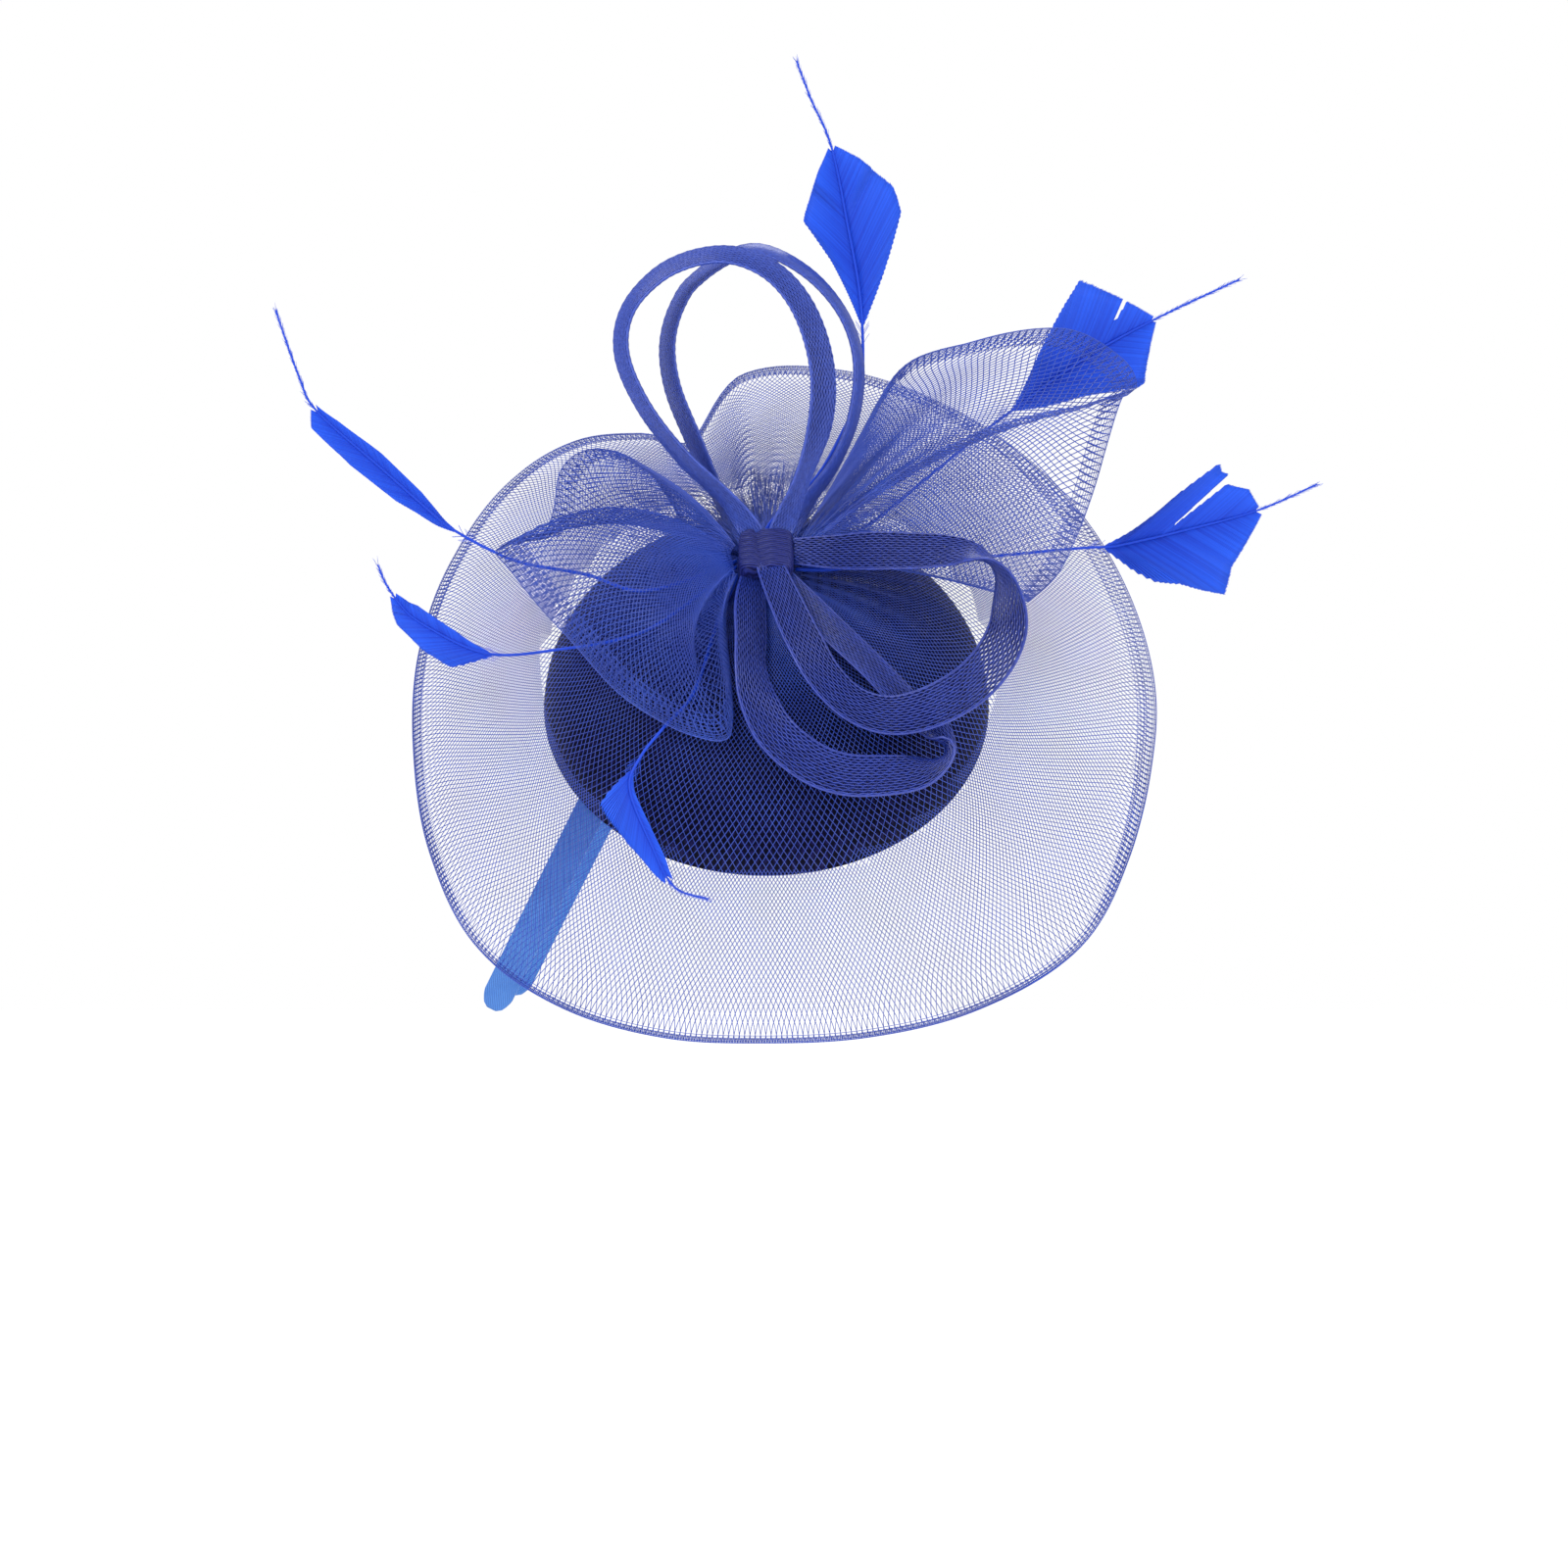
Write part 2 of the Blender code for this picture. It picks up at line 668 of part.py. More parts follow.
def build_loop(name, plan, seat, finish, collection):
    """A ribbon loop: a flat strip that leans as it turns."""
    route = route_points(plan["rows"], plan["reach"], RIBBON_STEP)
    axes = frames([spot for spot, _, _ in route], *plan["roots"])
    points = []
    for (spot, _, (width_share, lean)), (way, side, out) in zip(route, axes):
        turn = math.radians(lean)
        wide = side * math.cos(turn) + out * math.sin(turn)
        thick = way.cross(wide)
        half = wide * (RIBBON_WIDTH * width_share / 2)
        wall = thick * (RIBBON_WALL / 2)
        points += [spot - half - wall, spot - wall, spot + half - wall]
        points += [spot + half + wall, spot + wall, spot - half + wall]
    strip = mesh_object(name, points, loft_faces(len(route), 6), finish, seat, collection)
    return face_out(strip)


def between(rows, place):
    """The columns of a table at a place, on straight lines between its rows."""
    if place <= rows[0][0]:
        return rows[0][1:]
    for before, after in zip(rows, rows[1:]):
        if place <= after[0]:
            share = (place - before[0]) / (after[0] - before[0])
            return [a + (b - a) * share for a, b in zip(before[1:], after[1:])]
    return rows[-1][1:]


def build_feather(name, plan, seat, finish, collection):
    """A bare stem with a trimmed vane: barbs lean forward from the stem on both sides."""
    length = plan["length"]
    route = route_points(plan["route"], length, FEATHER_STEP / 2)
    vane_starts = plan["vane"][0][0]
    picked = [
        item for index, item in enumerate(route) if item[1] >= vane_starts or index % 2 == 0
    ]
    axes = frames([spot for spot, _, _ in picked], plan["root"])
    slopes = [math.radians(angle) for angle in plan["barb_angle"]]
    points = []
    for (spot, place, _), (way, side, out) in zip(picked, axes):
        left, right = between(plan["vane"], place)
        stem = STEM_RADIUS * (1 - STEM_TAPER * place)
        edges = []
        for sign, share, slope in ((-1, left, slopes[0]), (1, right, slopes[1])):
            barb = share * length
            along = way * (barb * math.cos(slope))
            edges.append(spot + along + side * (sign * (barb * math.sin(slope) + stem)))
        thin = out * (VANE_WALL / 2 * BARB_TIP_THINNING)
        ridge = out * stem
        lean = side * (stem * math.sqrt(1 - BARB_TIP_THINNING**2))
        points += [edges[0] + thin, spot - lean + ridge, spot + lean + ridge]
        points += [edges[1] + thin, edges[1] - thin]
        points += [spot + lean - ridge, spot - lean - ridge, edges[0] - thin]
    plume = mesh_object(name, points, loft_faces(len(picked), 8), finish, seat, collection)
    return face_out(plume)


def build_knot(seat, finish, collection, cutters):
    """The satin wrap: two ridges side by side, on a neck that goes down through the net."""
    centre = over_net(0, 0, KNOT_LIFT)
    points = []
    for share in KNOT_SECTIONS:
        swell = 1 - KNOT_SWELL * share**4
        for index in range(KNOT_SIDES):
            turn = 2 * math.pi * index / KNOT_SIDES
            across = math.copysign(abs(math.cos(turn)) ** KNOT_SQUARENESS, math.cos(turn))
            out = math.copysign(abs(math.sin(turn)) ** KNOT_SQUARENESS, math.sin(turn))
            dip = math.exp(-(((across - GROOVE_PLACE) / GROOVE_SPREAD) ** 2))
            groove = KNOT_GROOVE * dip * max(out, 0) ** 2
            points.append(
                centre
                + Vector(
                    (
                        across * KNOT_WIDTH / 2 * swell,
                        share * KNOT_HEIGHT / 2,
                        (out * KNOT_DEPTH / 2 - groove) * swell,
                    )
                )
            )
    faces = loft_faces(len(KNOT_SECTIONS), KNOT_SIDES)
    knot = mesh_object("knot", points, faces, finish, seat, collection)
    face_out(knot)
    foot = dome(KNOT_PLACE - NECK_RADIUS) + SEAT_GAP
    top = centre.z
    bpy.ops.mesh.primitive_cylinder_add(vertices=NECK_SIDES, radius=NECK_RADIUS, depth=top - foot)
    neck = bpy.context.object
    neck.name = "neck_cutter"
    neck.parent = seat
    neck.location = (0, KNOT_PLACE, (top + foot) / 2)
    for holder in list(neck.users_collection):
        holder.objects.unlink(neck)
    cutters.objects.link(neck)
    neck.hide_render = True
    neck.display_type = "WIRE"
    joined = knot.modifiers.new("neck", "BOOLEAN")
    joined.operation = "UNION"
    joined.object = neck
    return knot


def rim_height_of_band(centre, radius):
    """How high the band's outside stands where it passes the rim, at the viewer's side and beyond."""
    highest = [-1.0, -1.0]
    inner, outer = CROWN_DIAMETER / 2 - CROWN_WALL, CROWN_DIAMETER / 2
    for step in range(BAND_SEARCH_STEPS):
        turn = math.radians(80 + 120 * step / BAND_SEARCH_STEPS)
        for edge in (-0.5, 0.5):
            spot = BAND_ACROSS * (BAND_OFFSET + edge * BAND_WIDTH)
            spot = spot + BAND_AWAY * (centre[0] + radius * math.cos(turn))
            spot = spot + BAND_UP * (centre[1] + radius * math.sin(turn))
            height = spot.dot(CROWN_AXIS)
            if inner < (spot - CROWN_AXIS * height).length < outer:
                side = 0 if turn > math.radians(130) else 1
                highest[side] = max(highest[side], height)
    return highest


def band_centre():
    """Centre of the band's arc, lowered until the band passes just under the rim on both sides."""
    crossings = []
    for turn in range(360):
        heading = math.radians(turn)
        spot = CROWN_DIAMETER / 2 * (
            Vector((math.cos(heading), 0, 0)) + CROWN_UP * math.sin(heading)
        )
        crossings.append((abs(spot.dot(BAND_ACROSS) - BAND_OFFSET), spot))
    near = min((c for c in crossings if c[1].y < 0), key=lambda c: c[0])[1]
    far = min((c for c in crossings if c[1].y > 0), key=lambda c: c[0])[1]
    ends = [Vector((spot.y, spot.dot(BAND_UP))) for spot in (near, far)]
    lower = -Vector((CROWN_AXIS.dot(BAND_AWAY), CROWN_AXIS.dot(BAND_UP))).normalized()
    drops = [0.0, 0.0]
    for _ in range(BAND_SEARCH_ROUNDS):
        start, end = [spot + lower * drop for spot, drop in zip(ends, drops)]
        half = (end - start) / 2
        reach = math.sqrt(BAND_RADIUS**2 - half.length_squared)
        centre = start + half + Vector((half.y, -half.x)).normalized() * reach
        heights = rim_height_of_band(centre, BAND_RADIUS)
        drops = [drop + height + SEAT_GAP + FACET for drop, height in zip(drops, heights)]
    return centre


def build_headband(finish, collection):
    """The band: more than half a circle over the head, then limbs that draw in towards the tips."""
    centre = band_centre()
    past = BAND_PAST_HALF
    route = []
    for step in range(BAND_ARC_STEPS + 1):
        turn = -past + (math.pi + 2 * past) * step / BAND_ARC_STEPS
        route.append((turn, 0.0))
    for step in range(1, BAND_LIMB_STEPS + 1):
        route.insert(0, (-past, BAND_LIMB * step / BAND_LIMB_STEPS))
        route.append((math.pi + past, BAND_LIMB * step / BAND_LIMB_STEPS))
    points = []
    for turn, limb in route:
        spoke = BAND_AWAY * math.cos(turn) + BAND_UP * math.sin(turn)
        onward = BAND_AWAY * math.sin(turn) - BAND_UP * math.cos(turn)
        if turn > math.pi / 2:
            onward = -onward
        middle = BAND_ACROSS * BAND_OFFSET + BAND_AWAY * centre[0] + BAND_UP * centre[1]
        middle = middle + onward * limb
        half = BAND_ACROSS * (BAND_WIDTH / 2)
        inside = middle + spoke * (BAND_RADIUS - BAND_WALL)
        outside = middle + spoke * BAND_RADIUS
        points += [inside - half, inside + half, outside + half, outside - half]
    band = mesh_object("headband", points, loft_faces(len(route), 4), finish, None, collection)
    return face_out(band)


def main():
    clear_scene()
    parts = bpy.data.collections.new("fascinator")
    cutters = bpy.data.collections.new("cutters")
    bpy.context.scene.collection.children.link(parts)
    bpy.context.scene.collection.children.link(cutters)
    seat = bpy.data.objects.new("seat", None)
    seat.rotation_euler = (CROWN_TILT, 0, 0)
    parts.objects.link(seat)

    net = material("blue_net", BLUE_NET, 0.6)
    satin = material("satin_ribbon", SATIN, 0.35)
    plume = material("feather_blue", FEATHER_BLUE, 0.5)
    build_base(seat, material("navy_net", NAVY_NET, 0.75), parts)
    build_headband(material("band_satin", BAND_BLUE, 0.4), parts)
    build_veil(seat, net, parts)
    for name, plan in RUFFLES.items():
        build_ruffle(name, plan, seat, net, parts)
    for name, plan in LOOPS.items():
        build_loop(name, plan, seat, satin, parts)
    build_knot(seat, material("knot_satin", DARK_SATIN, 0.35), parts, cutters)
    for name, plan in FEATHERS.items():
        build_feather(name, plan, seat, plume, parts)


main()
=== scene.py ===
# %% [markdown]
# A fascinator is a small hat that sits on one side of the head. This one has a domed crown on a
# headband, a veil and two ruffles of crinoline net, four loops of braided ribbon held by a satin
# knot, and six trimmed feathers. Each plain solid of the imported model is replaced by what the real
# piece is made of: threads, braid, barbs and satin.
#
# The script works in the crown's own tilted axes, as the model does: across, along (up the crown's
# slope) and height (out along the crown's axis).

import math

import bmesh
import bpy
import numpy as np
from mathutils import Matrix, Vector


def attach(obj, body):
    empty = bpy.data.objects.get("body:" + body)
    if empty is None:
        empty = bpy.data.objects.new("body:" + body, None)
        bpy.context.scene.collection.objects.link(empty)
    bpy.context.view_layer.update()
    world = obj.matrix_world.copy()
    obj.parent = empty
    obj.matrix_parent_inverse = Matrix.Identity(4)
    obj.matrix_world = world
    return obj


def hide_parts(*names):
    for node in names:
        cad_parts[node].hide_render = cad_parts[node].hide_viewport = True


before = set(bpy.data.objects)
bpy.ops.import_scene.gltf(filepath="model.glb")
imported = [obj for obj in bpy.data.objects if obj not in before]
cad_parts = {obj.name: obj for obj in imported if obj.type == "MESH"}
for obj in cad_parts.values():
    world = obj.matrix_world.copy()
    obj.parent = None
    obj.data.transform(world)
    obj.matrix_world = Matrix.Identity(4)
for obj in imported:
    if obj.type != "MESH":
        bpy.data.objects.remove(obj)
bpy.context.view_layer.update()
print("solids in the model:", len(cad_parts))


def add(name, data):
    """A new object of the scene that shows this mesh, lamp or camera."""
    item = bpy.data.objects.new(name, data)
    bpy.context.scene.collection.objects.link(item)
    return item


def principled(name, roughness, **others):
    """A material whose Principled shader has these numbers, with its nodes to build on."""
    finish = bpy.data.materials.new(name)
    finish.use_nodes = True
    shader = finish.node_tree.nodes["Principled BSDF"]
    shader.inputs["Roughness"].default_value = roughness
    for socket, value in others.items():
        shader.inputs[socket.replace("_", " ")].default_value = value
    return finish, finish.node_tree, shader


# %% [markdown]
# The camera looks level along +Y through a long lens, which draws near loops and far net at nearly
# one scale.

# %% Camera
PICTURE_WIDTH = 0.5161
CAMERA_DISTANCE = 1.8
CAMERA_ACROSS = 0.0058
CAMERA_HEIGHT = -0.0268
SENSOR_WIDTH = 36

lens = bpy.data.cameras.new("studio_lens")
lens.sensor_width = SENSOR_WIDTH
lens.lens = SENSOR_WIDTH * CAMERA_DISTANCE / PICTURE_WIDTH
camera = add("studio_camera", lens)
camera.location = (CAMERA_ACROSS, -CAMERA_DISTANCE, CAMERA_HEIGHT)
camera.rotation_euler = (math.pi / 2, 0, 0)
bpy.context.scene.camera = camera
print("lens in mm:", round(lens.lens, 1))

# %% [markdown]
# The picture is high-key: a white surround, soft light from all sides, and one brighter lamp above
# on the left for the satin's highlights. The floor is as bright as the surround, so that no horizon
# shows behind the net.

# %% Floor, surround and lamps
FLOOR_HEIGHT = -0.6
FLOOR_REACH = 12
FLOOR_GLOW = 0.1
SURROUND_LIGHT = 1.0

floor_mesh = bpy.data.meshes.new("floor")
corners = [(-1, -1), (1, -1), (1, 1), (-1, 1)]
floor_mesh.from_pydata(
    [(x * FLOOR_REACH, y * FLOOR_REACH, FLOOR_HEIGHT) for x, y in corners], [], [(0, 1, 2, 3)]
)
floor_paint, _, _ = principled(
    "floor_paint", 0.9, Base_Color=(0.98, 0.98, 0.98, 1), Emission_Color=(1, 1, 1, 1),
    Emission_Strength=FLOOR_GLOW,
)
floor_mesh.materials.append(floor_paint)
add("floor", floor_mesh)

surround = bpy.data.worlds.new("studio")
surround.use_nodes = True
background = surround.node_tree.nodes["Background"]
background.inputs["Color"].default_value = (1, 1, 1, 1)
background.inputs["Strength"].default_value = SURROUND_LIGHT
bpy.context.scene.world = surround
bpy.context.scene.view_settings.view_transform = "Standard"


def lamp(name, place, size, watts):
    """A square soft lamp that points at the hat."""
    light = bpy.data.lights.new(name, "AREA")
    light.size = size
    light.energy = watts
    item = add(name, light)
    item.location = place
    item.rotation_euler = (-Vector(place)).to_track_quat("-Z", "Y").to_euler()


lamp("key_lamp", (-1.0, -1.3, 1.5), 0.8, 14)
lamp("fill_lamp", (1.5, -1.2, 0.4), 1.0, 5)
lamp("back_lamp", (0.2, 1.6, 1.4), 0.9, 6)

# %% [markdown]
# The hat's driving sizes, in metres and in the crown's axes, are the same as the model's, because
# every piece has to lie where its solid lies.

# %% Sizes of the hat
CROWN_TILT = math.radians(50)
CROWN_DIAMETER = 0.146
CROWN_HEIGHT = 0.040
CROWN_WALL = 0.002
CROWN_FULLNESS = 2.6
NET_LIFT = 0.0014
VEIL_REACH = 0.124
VEIL_RISE = 0.022
KNOT_WIDTH = 0.018
KNOT_HEIGHT = 0.013
KNOT_DEPTH = 0.0104
KNOT_LIFT = 0.0085
KNOT_PLACE = 0.0205
SEAT_GAP = 0.0003
TILT_COS, TILT_SIN = math.cos(CROWN_TILT), math.sin(CROWN_TILT)
TOWARD_VIEWER = Vector((0, -TILT_COS, TILT_SIN))


def to_world(points):
    """Turn points from the crown's axes (across, along, height) to the world's."""
    points = np.asarray(points, float)
    across, along, height = points[..., 0], points[..., 1], points[..., 2]
    away, up = along * TILT_COS - height * TILT_SIN, along * TILT_SIN + height * TILT_COS
    return np.stack([across, away, up], axis=-1)


def ease(before, start, end, after, t):
    """A smooth curve from start to end that heads the way its neighbours do."""
    return 0.5 * (
        2 * start
        + (end - before) * t
        + (2 * before - 5 * start + 4 * end - after) * t**2
        + (3 * start - before - 3 * end + after) * t**3
    )


def smooth_row(rows, place):
    """The row at a fractional index of an open table, each column eased."""
    first = min(int(place), len(rows) - 2)
    picks = [rows[min(max(first + step, 0), len(rows) - 1)] for step in (-1, 0, 1, 2)]
    return [ease(*column, place - first) for column in zip(*picks)]


def run_along(points):
    """The distance along a chain of points to each of them."""
    return np.concatenate([[0], np.cumsum(np.linalg.norm(np.diff(points, axis=0), axis=1))])


# %% [markdown]
# The net lies on the dome, and from the dome's shoulder it runs straight to the rim, as a stiff
# net does when it is pulled over a hat block. So its height at any spot follows from the dome and
# from the rim's table, which is the model's.

# %% The net's surface
VEIL_RIM = (
    (0, 1.035, 0), (20, 1.03, 0.34), (40, 1.04, 0.64), (60, 1.06, 0.87), (80, 1.08, 0.98), (94, 1.04, 1),
    (105, 0.8, 1.1), (112, 0.89, 0.95), (122, 0.965, 0.85), (134, 0.98, 0.72), (152, 0.955, 0.47),
    (172, 0.94, 0.14), (190, 0.945, -0.17), (208, 0.99, -0.47), (225, 1.045, -0.71), (240, 1.045, -0.87),
    (256, 1.02, -0.97), (270, 1, -1), (285, 1.02, -0.97), (300, 1.06, -0.87), (318, 1.095, -0.67),
    (335, 1.055, -0.42), (348, 1.035, -0.21),
)


def rim_at(angle):
    """Reach and height of the veil's rim at an angle in degrees."""
    angle = angle % 360
    count = len(VEIL_RIM)
    first = max(index for index in range(count) if VEIL_RIM[index][0] <= angle)
    span = (VEIL_RIM[(first + 1) % count][0] - VEIL_RIM[first][0]) % 360
    t = (angle - VEIL_RIM[first][0]) / span
    picks = [VEIL_RIM[(first + step) % count] for step in (-1, 0, 1, 2)]
    _, reach, rise = [ease(*column, t) for column in zip(*picks)]
    return reach * VEIL_REACH, rise * VEIL_RISE


def dome(radius, grow=0.0):
    """Height of the crown's outside at a radius, or of a dome that lies grow outside it."""
    share = np.minimum(np.abs(radius) / (CROWN_DIAMETER / 2 + grow), 1.0)
    return (CROWN_HEIGHT + grow) * np.sqrt(1 - share**CROWN_FULLNESS)


RIM_ANGLES = np.linspace(0, 360, 1441)
RIM_REACH, RIM_HEIGHT = np.array([rim_at(angle) for angle in RIM_ANGLES]).T
shoulder_tries = (CROWN_DIAMETER / 2 + NET_LIFT) * np.linspace(0, 1, 241)
slopes = (dome(shoulder_tries, NET_LIFT)[None, :] - RIM_HEIGHT[:, None]) / (
    RIM_REACH[:, None] - shoulder_tries[None, :]
)
NET_SLOPE = slopes.max(axis=1)
NET_LEAVES = shoulder_tries[slopes.argmax(axis=1)]


def net_height(across, along):
    """Height of the net: over the dome, then straight from where it leaves it to the rim."""
    radius = np.hypot(across, along)
    angle = np.degrees(np.arctan2(along, across)) % 360
    tables = (RIM_REACH, RIM_HEIGHT, NET_SLOPE, NET_LEAVES)
    reach, rise, slope, leaves = [np.interp(angle, RIM_ANGLES, table) for table in tables]
    spread = rise + slope * np.maximum(reach - radius, 0)
    return np.where(radius <= leaves, dome(radius, NET_LIFT), spread)


def over_net(points):
    """Crown-axis points from across, along and lift, measured from the knot's foot on the net."""
    points = np.asarray(points, float)
    across, along = points[..., 0], points[..., 1] + KNOT_PLACE
    return np.stack([across, along, net_height(across, along) + points[..., 2]], axis=-1)


print("the net leaves the dome at mm:", np.round(NET_LEAVES[::360] * 1000, 1))

# %% [markdown]
# Crinoline net is a braid of stiff threads about a quarter of a millimetre thick, and they are
# made for real. Python lays each thread as a chain of edges, and one Geometry Nodes tree turns
# every chain into a three-sided tube, which is enough for a thread that is half a pixel wide.

# %% A tree that turns edges into threads
THREAD_RADIUS = 0.000145
THREAD_SIDES = 3


def thread_tree():
    """Geometry Nodes: edges to curves, curves to tubes, with a thickness, sides and a material."""
    tree = bpy.data.node_groups.new("threads_from_edges", "GeometryNodeTree")
    tree.is_modifier = True
    inputs = (("Edges", "Geometry"), ("Radius", "Float"), ("Sides", "Int"), ("Thread", "Material"))
    for name, kind in inputs:
        tree.interface.new_socket(name, in_out="INPUT", socket_type="NodeSocket" + kind)
    tree.interface.new_socket("Tubes", in_out="OUTPUT", socket_type="NodeSocketGeometry")
    given, made = tree.nodes.new("NodeGroupInput"), tree.nodes.new("NodeGroupOutput")
    path, ring, tube, smooth, real, paint = [
        tree.nodes.new("GeometryNode" + kind)
        for kind in ("MeshToCurve", "CurvePrimitiveCircle", "CurveToMesh", "SetShadeSmooth",
                     "RealizeInstances", "SetMaterial")
    ]
    for start, result, end, socket in (
        (given, "Edges", path, "Mesh"),
        (given, "Radius", ring, "Radius"),
        (given, "Sides", ring, "Resolution"),
        (path, "Curve", tube, "Curve"),
        (ring, "Curve", tube, "Profile Curve"),
        (tube, "Mesh", smooth, "Geometry"),
        (smooth, "Geometry", real, "Geometry"),
        (real, "Geometry", paint, "Geometry"),
        (given, "Thread", paint, "Material"),
        (paint, "Geometry", made, "Tubes"),
    ):
        tree.links.new(start.outputs[result], end.inputs[socket])
    return tree


THREADS = thread_tree()
THREAD_SOCKETS = {
    item.name: item.identifier for item in THREADS.interface.items_tree if item.in_out == "INPUT"
}


def finished(item, name):
    """A plain mesh object from what an object's modifiers make; the first object is removed."""
    graph = bpy.context.evaluated_depsgraph_get()
    mesh = bpy.data.meshes.new_from_object(item.evaluated_get(graph))
    mesh.name = name
    bpy.data.objects.remove(item, do_unlink=True)
    return add(name, mesh)


def threads(name, chains, finish, radius=THREAD_RADIUS, sides=THREAD_SIDES):
    """One mesh of tubes along chains of points, which are given in the crown's axes."""
    starts = np.cumsum([0] + [len(chain) for chain in chains])
    edges = [
        (start + step, start + step + 1)
        for start, chain in zip(starts, chains)
        for step in range(len(chain) - 1)
    ]
    mesh = bpy.data.meshes.new(name + "_paths")
    mesh.from_pydata(to_world(np.concatenate(chains)).tolist(), edges, [])
    paths = add(name + "_paths", mesh)
    modifier = paths.modifiers.new("threads", "NODES")
    modifier.node_group = THREADS
    modifier[THREAD_SOCKETS["Radius"]] = radius
    modifier[THREAD_SOCKETS["Sides"]] = sides
    modifier[THREAD_SOCKETS["Thread"]] = finish
    return finished(paths, name)


def size_of(piece):
    """Triangles of a piece, and its surface in square metres."""
    piece.data.calc_loop_triangles()
    return len(piece.data.loop_triangles), sum(face.area for face in piece.data.polygons)


# %% [markdown]
# The threads are nylon: smooth, a little shiny, and dyed royal blue. A bump would never show on a
# thread this thin, so the finish has a slow change of shade along the net instead, as the dye
# takes unevenly.

# %% Thread finish
def shaded(tree, shader, driver, low, high):
    """A shader's colour, on a ramp from low to high along a 0 to 1 value."""
    ramp = tree.nodes.new("ShaderNodeValToRGB")
    ramp.color_ramp.elements[0].color = (*low, 1)
    ramp.color_ramp.elements[1].color = (*high, 1)
    tree.links.new(driver, ramp.inputs["Fac"])
    tree.links.new(ramp.outputs["Color"], shader.inputs["Base Color"])


def cloudy(tree, scale):
    """Soft noise over the piece, in its own Object coordinates."""
    place = tree.nodes.new("ShaderNodeTexCoord")
    noise = tree.nodes.new("ShaderNodeTexNoise")
    noise.inputs["Scale"].default_value = scale
    noise.inputs["Detail"].default_value = 2.0
    tree.links.new(place.outputs["Object"], noise.inputs["Vector"])
    return noise.outputs["Fac"]


NET_SHADES = ((0.014, 0.038, 0.340), (0.045, 0.115, 0.640))
net_finish, net_nodes, net_shader = principled("net_thread", 0.28, Specular_IOR_Level=0.6)
shaded(net_nodes, net_shader, cloudy(net_nodes, 60), *NET_SHADES)

# %% [markdown]
# In a gathered braid the two sets of threads cross on a slant, run nearly straight out where the
# gathers squeeze them, and meet the rim almost square. So each thread is a spiral, added up from
# a short table of its slant. Every other thread stops at the dome's outline, where the mesh opens.

# %% Spirals for the veil
VEIL_THREADS = 456
VEIL_STEPS = 30
VEIL_START = 0.045
VEIL_JOIN = 0.0722
VEIL_JOIN_SHIFT = 0.0072
SLANT_ROWS = ((0.0, 0.15), (0.15, 0.30), (0.40, 0.80), (0.70, 0.95), (0.90, 0.80), (1.0, 0.15))
HEM_ROWS = (
    (0, 0.0065), (30, 0.008), (60, 0.006), (90, 0.004), (150, 0.004), (190, 0.003),
    (230, 0.0018), (270, 0.0015), (320, 0.002), (345, 0.0045), (360, 0.0065),
)
HEM_LINES = 10
HEM_CROWDING = 1.7
HEM_THREAD = 0.00012
CROSSING_GAP = 0.00012
HEM_BEHIND = 0.001
FOLD_COUNT = 44
FOLD_RISE = 0.0007
NECK_GATHERS = 22
GATHER_LIFT = 0.0010
GATHER_FADE = 0.34
GATHER_THREADS = 900
GATHER_REACH = (0.15, 0.52)
GATHER_FAN = (93, 28)
GATHER_TURN = 12
GATHER_STEPS = 14
GATHER_SEED = 5
fine_share = np.linspace(VEIL_START, 1, 400)
slant = np.interp(fine_share, *zip(*SLANT_ROWS))
spiral = np.concatenate([[0], np.cumsum((slant[1:] + slant[:-1]) / 2 * np.diff(np.log(fine_share)))])
spiral_turn = np.degrees(spiral - spiral[-1])
print("a thread turns by degrees:", round(float(-spiral_turn[0])))


def veil_folds(turn, share):
    """Lift of the gathers that stand up round the knot and fan out towards the top of the veil."""
    uneven = turn + 4 * np.sin(np.radians(3 * turn)) + 2.5 * np.sin(np.radians(7 * turn + 40))
    fade = np.exp(-((share / GATHER_FADE) ** 2)) * np.clip(share / 0.08, 0, 1)
    near_knot = GATHER_LIFT * fade * (1 + np.cos(np.radians(uneven * NECK_GATHERS)))
    top = np.exp(-(((turn % 360) - 104) / 44) ** 2) * np.exp(-((share - 0.52) / 0.22) ** 2)
    wander = 40 * share + 3 * np.sin(np.radians(turn * 5))
    return near_knot + FOLD_RISE * top * (1 + np.cos(np.radians(turn * FOLD_COUNT) + wander / 12))


def veil_points(turn, share, lift=0.0):
    """Points of the veil at angles round the crown and shares of the way from the knot's foot."""
    angle = turn % 360
    reach = np.interp(angle, RIM_ANGLES, RIM_REACH)
    across = reach * np.cos(np.radians(angle)) * share
    along = (reach * np.sin(np.radians(angle)) - KNOT_PLACE) * share
    return over_net(np.stack([across, along, lift + veil_folds(turn, share)], axis=-1))


def veil_chains():
    """Both sets of threads, each carried round the rim into the turned-back hem."""
    chains = []
    for direction in (-1, 1):
        for number in range(VEIL_THREADS):
            rim_turn = 360 * (number + 0.25 * direction) / VEIL_THREADS
            shares = np.linspace(VEIL_START, 1, VEIL_STEPS) ** 0.9
            turn = rim_turn + direction * np.interp(shares, fine_share, spiral_turn)
            front = veil_points(turn, shares, direction * CROSSING_GAP)
            if number % 2:
                front = front[np.hypot(front[:, 0], front[:, 1] + VEIL_JOIN_SHIFT) > VEIL_JOIN]
            width = np.interp(rim_turn % 360, *zip(*HEM_ROWS))
            back_shares = 1 - np.array([0.3, 1.0]) * width / VEIL_REACH
            back_turn = rim_turn - direction * np.interp(back_shares, fine_share, spiral_turn)
            behind = veil_points(back_turn, back_shares, -HEM_BEHIND)
            chains.append(np.concatenate([front, behind]))
    return chains


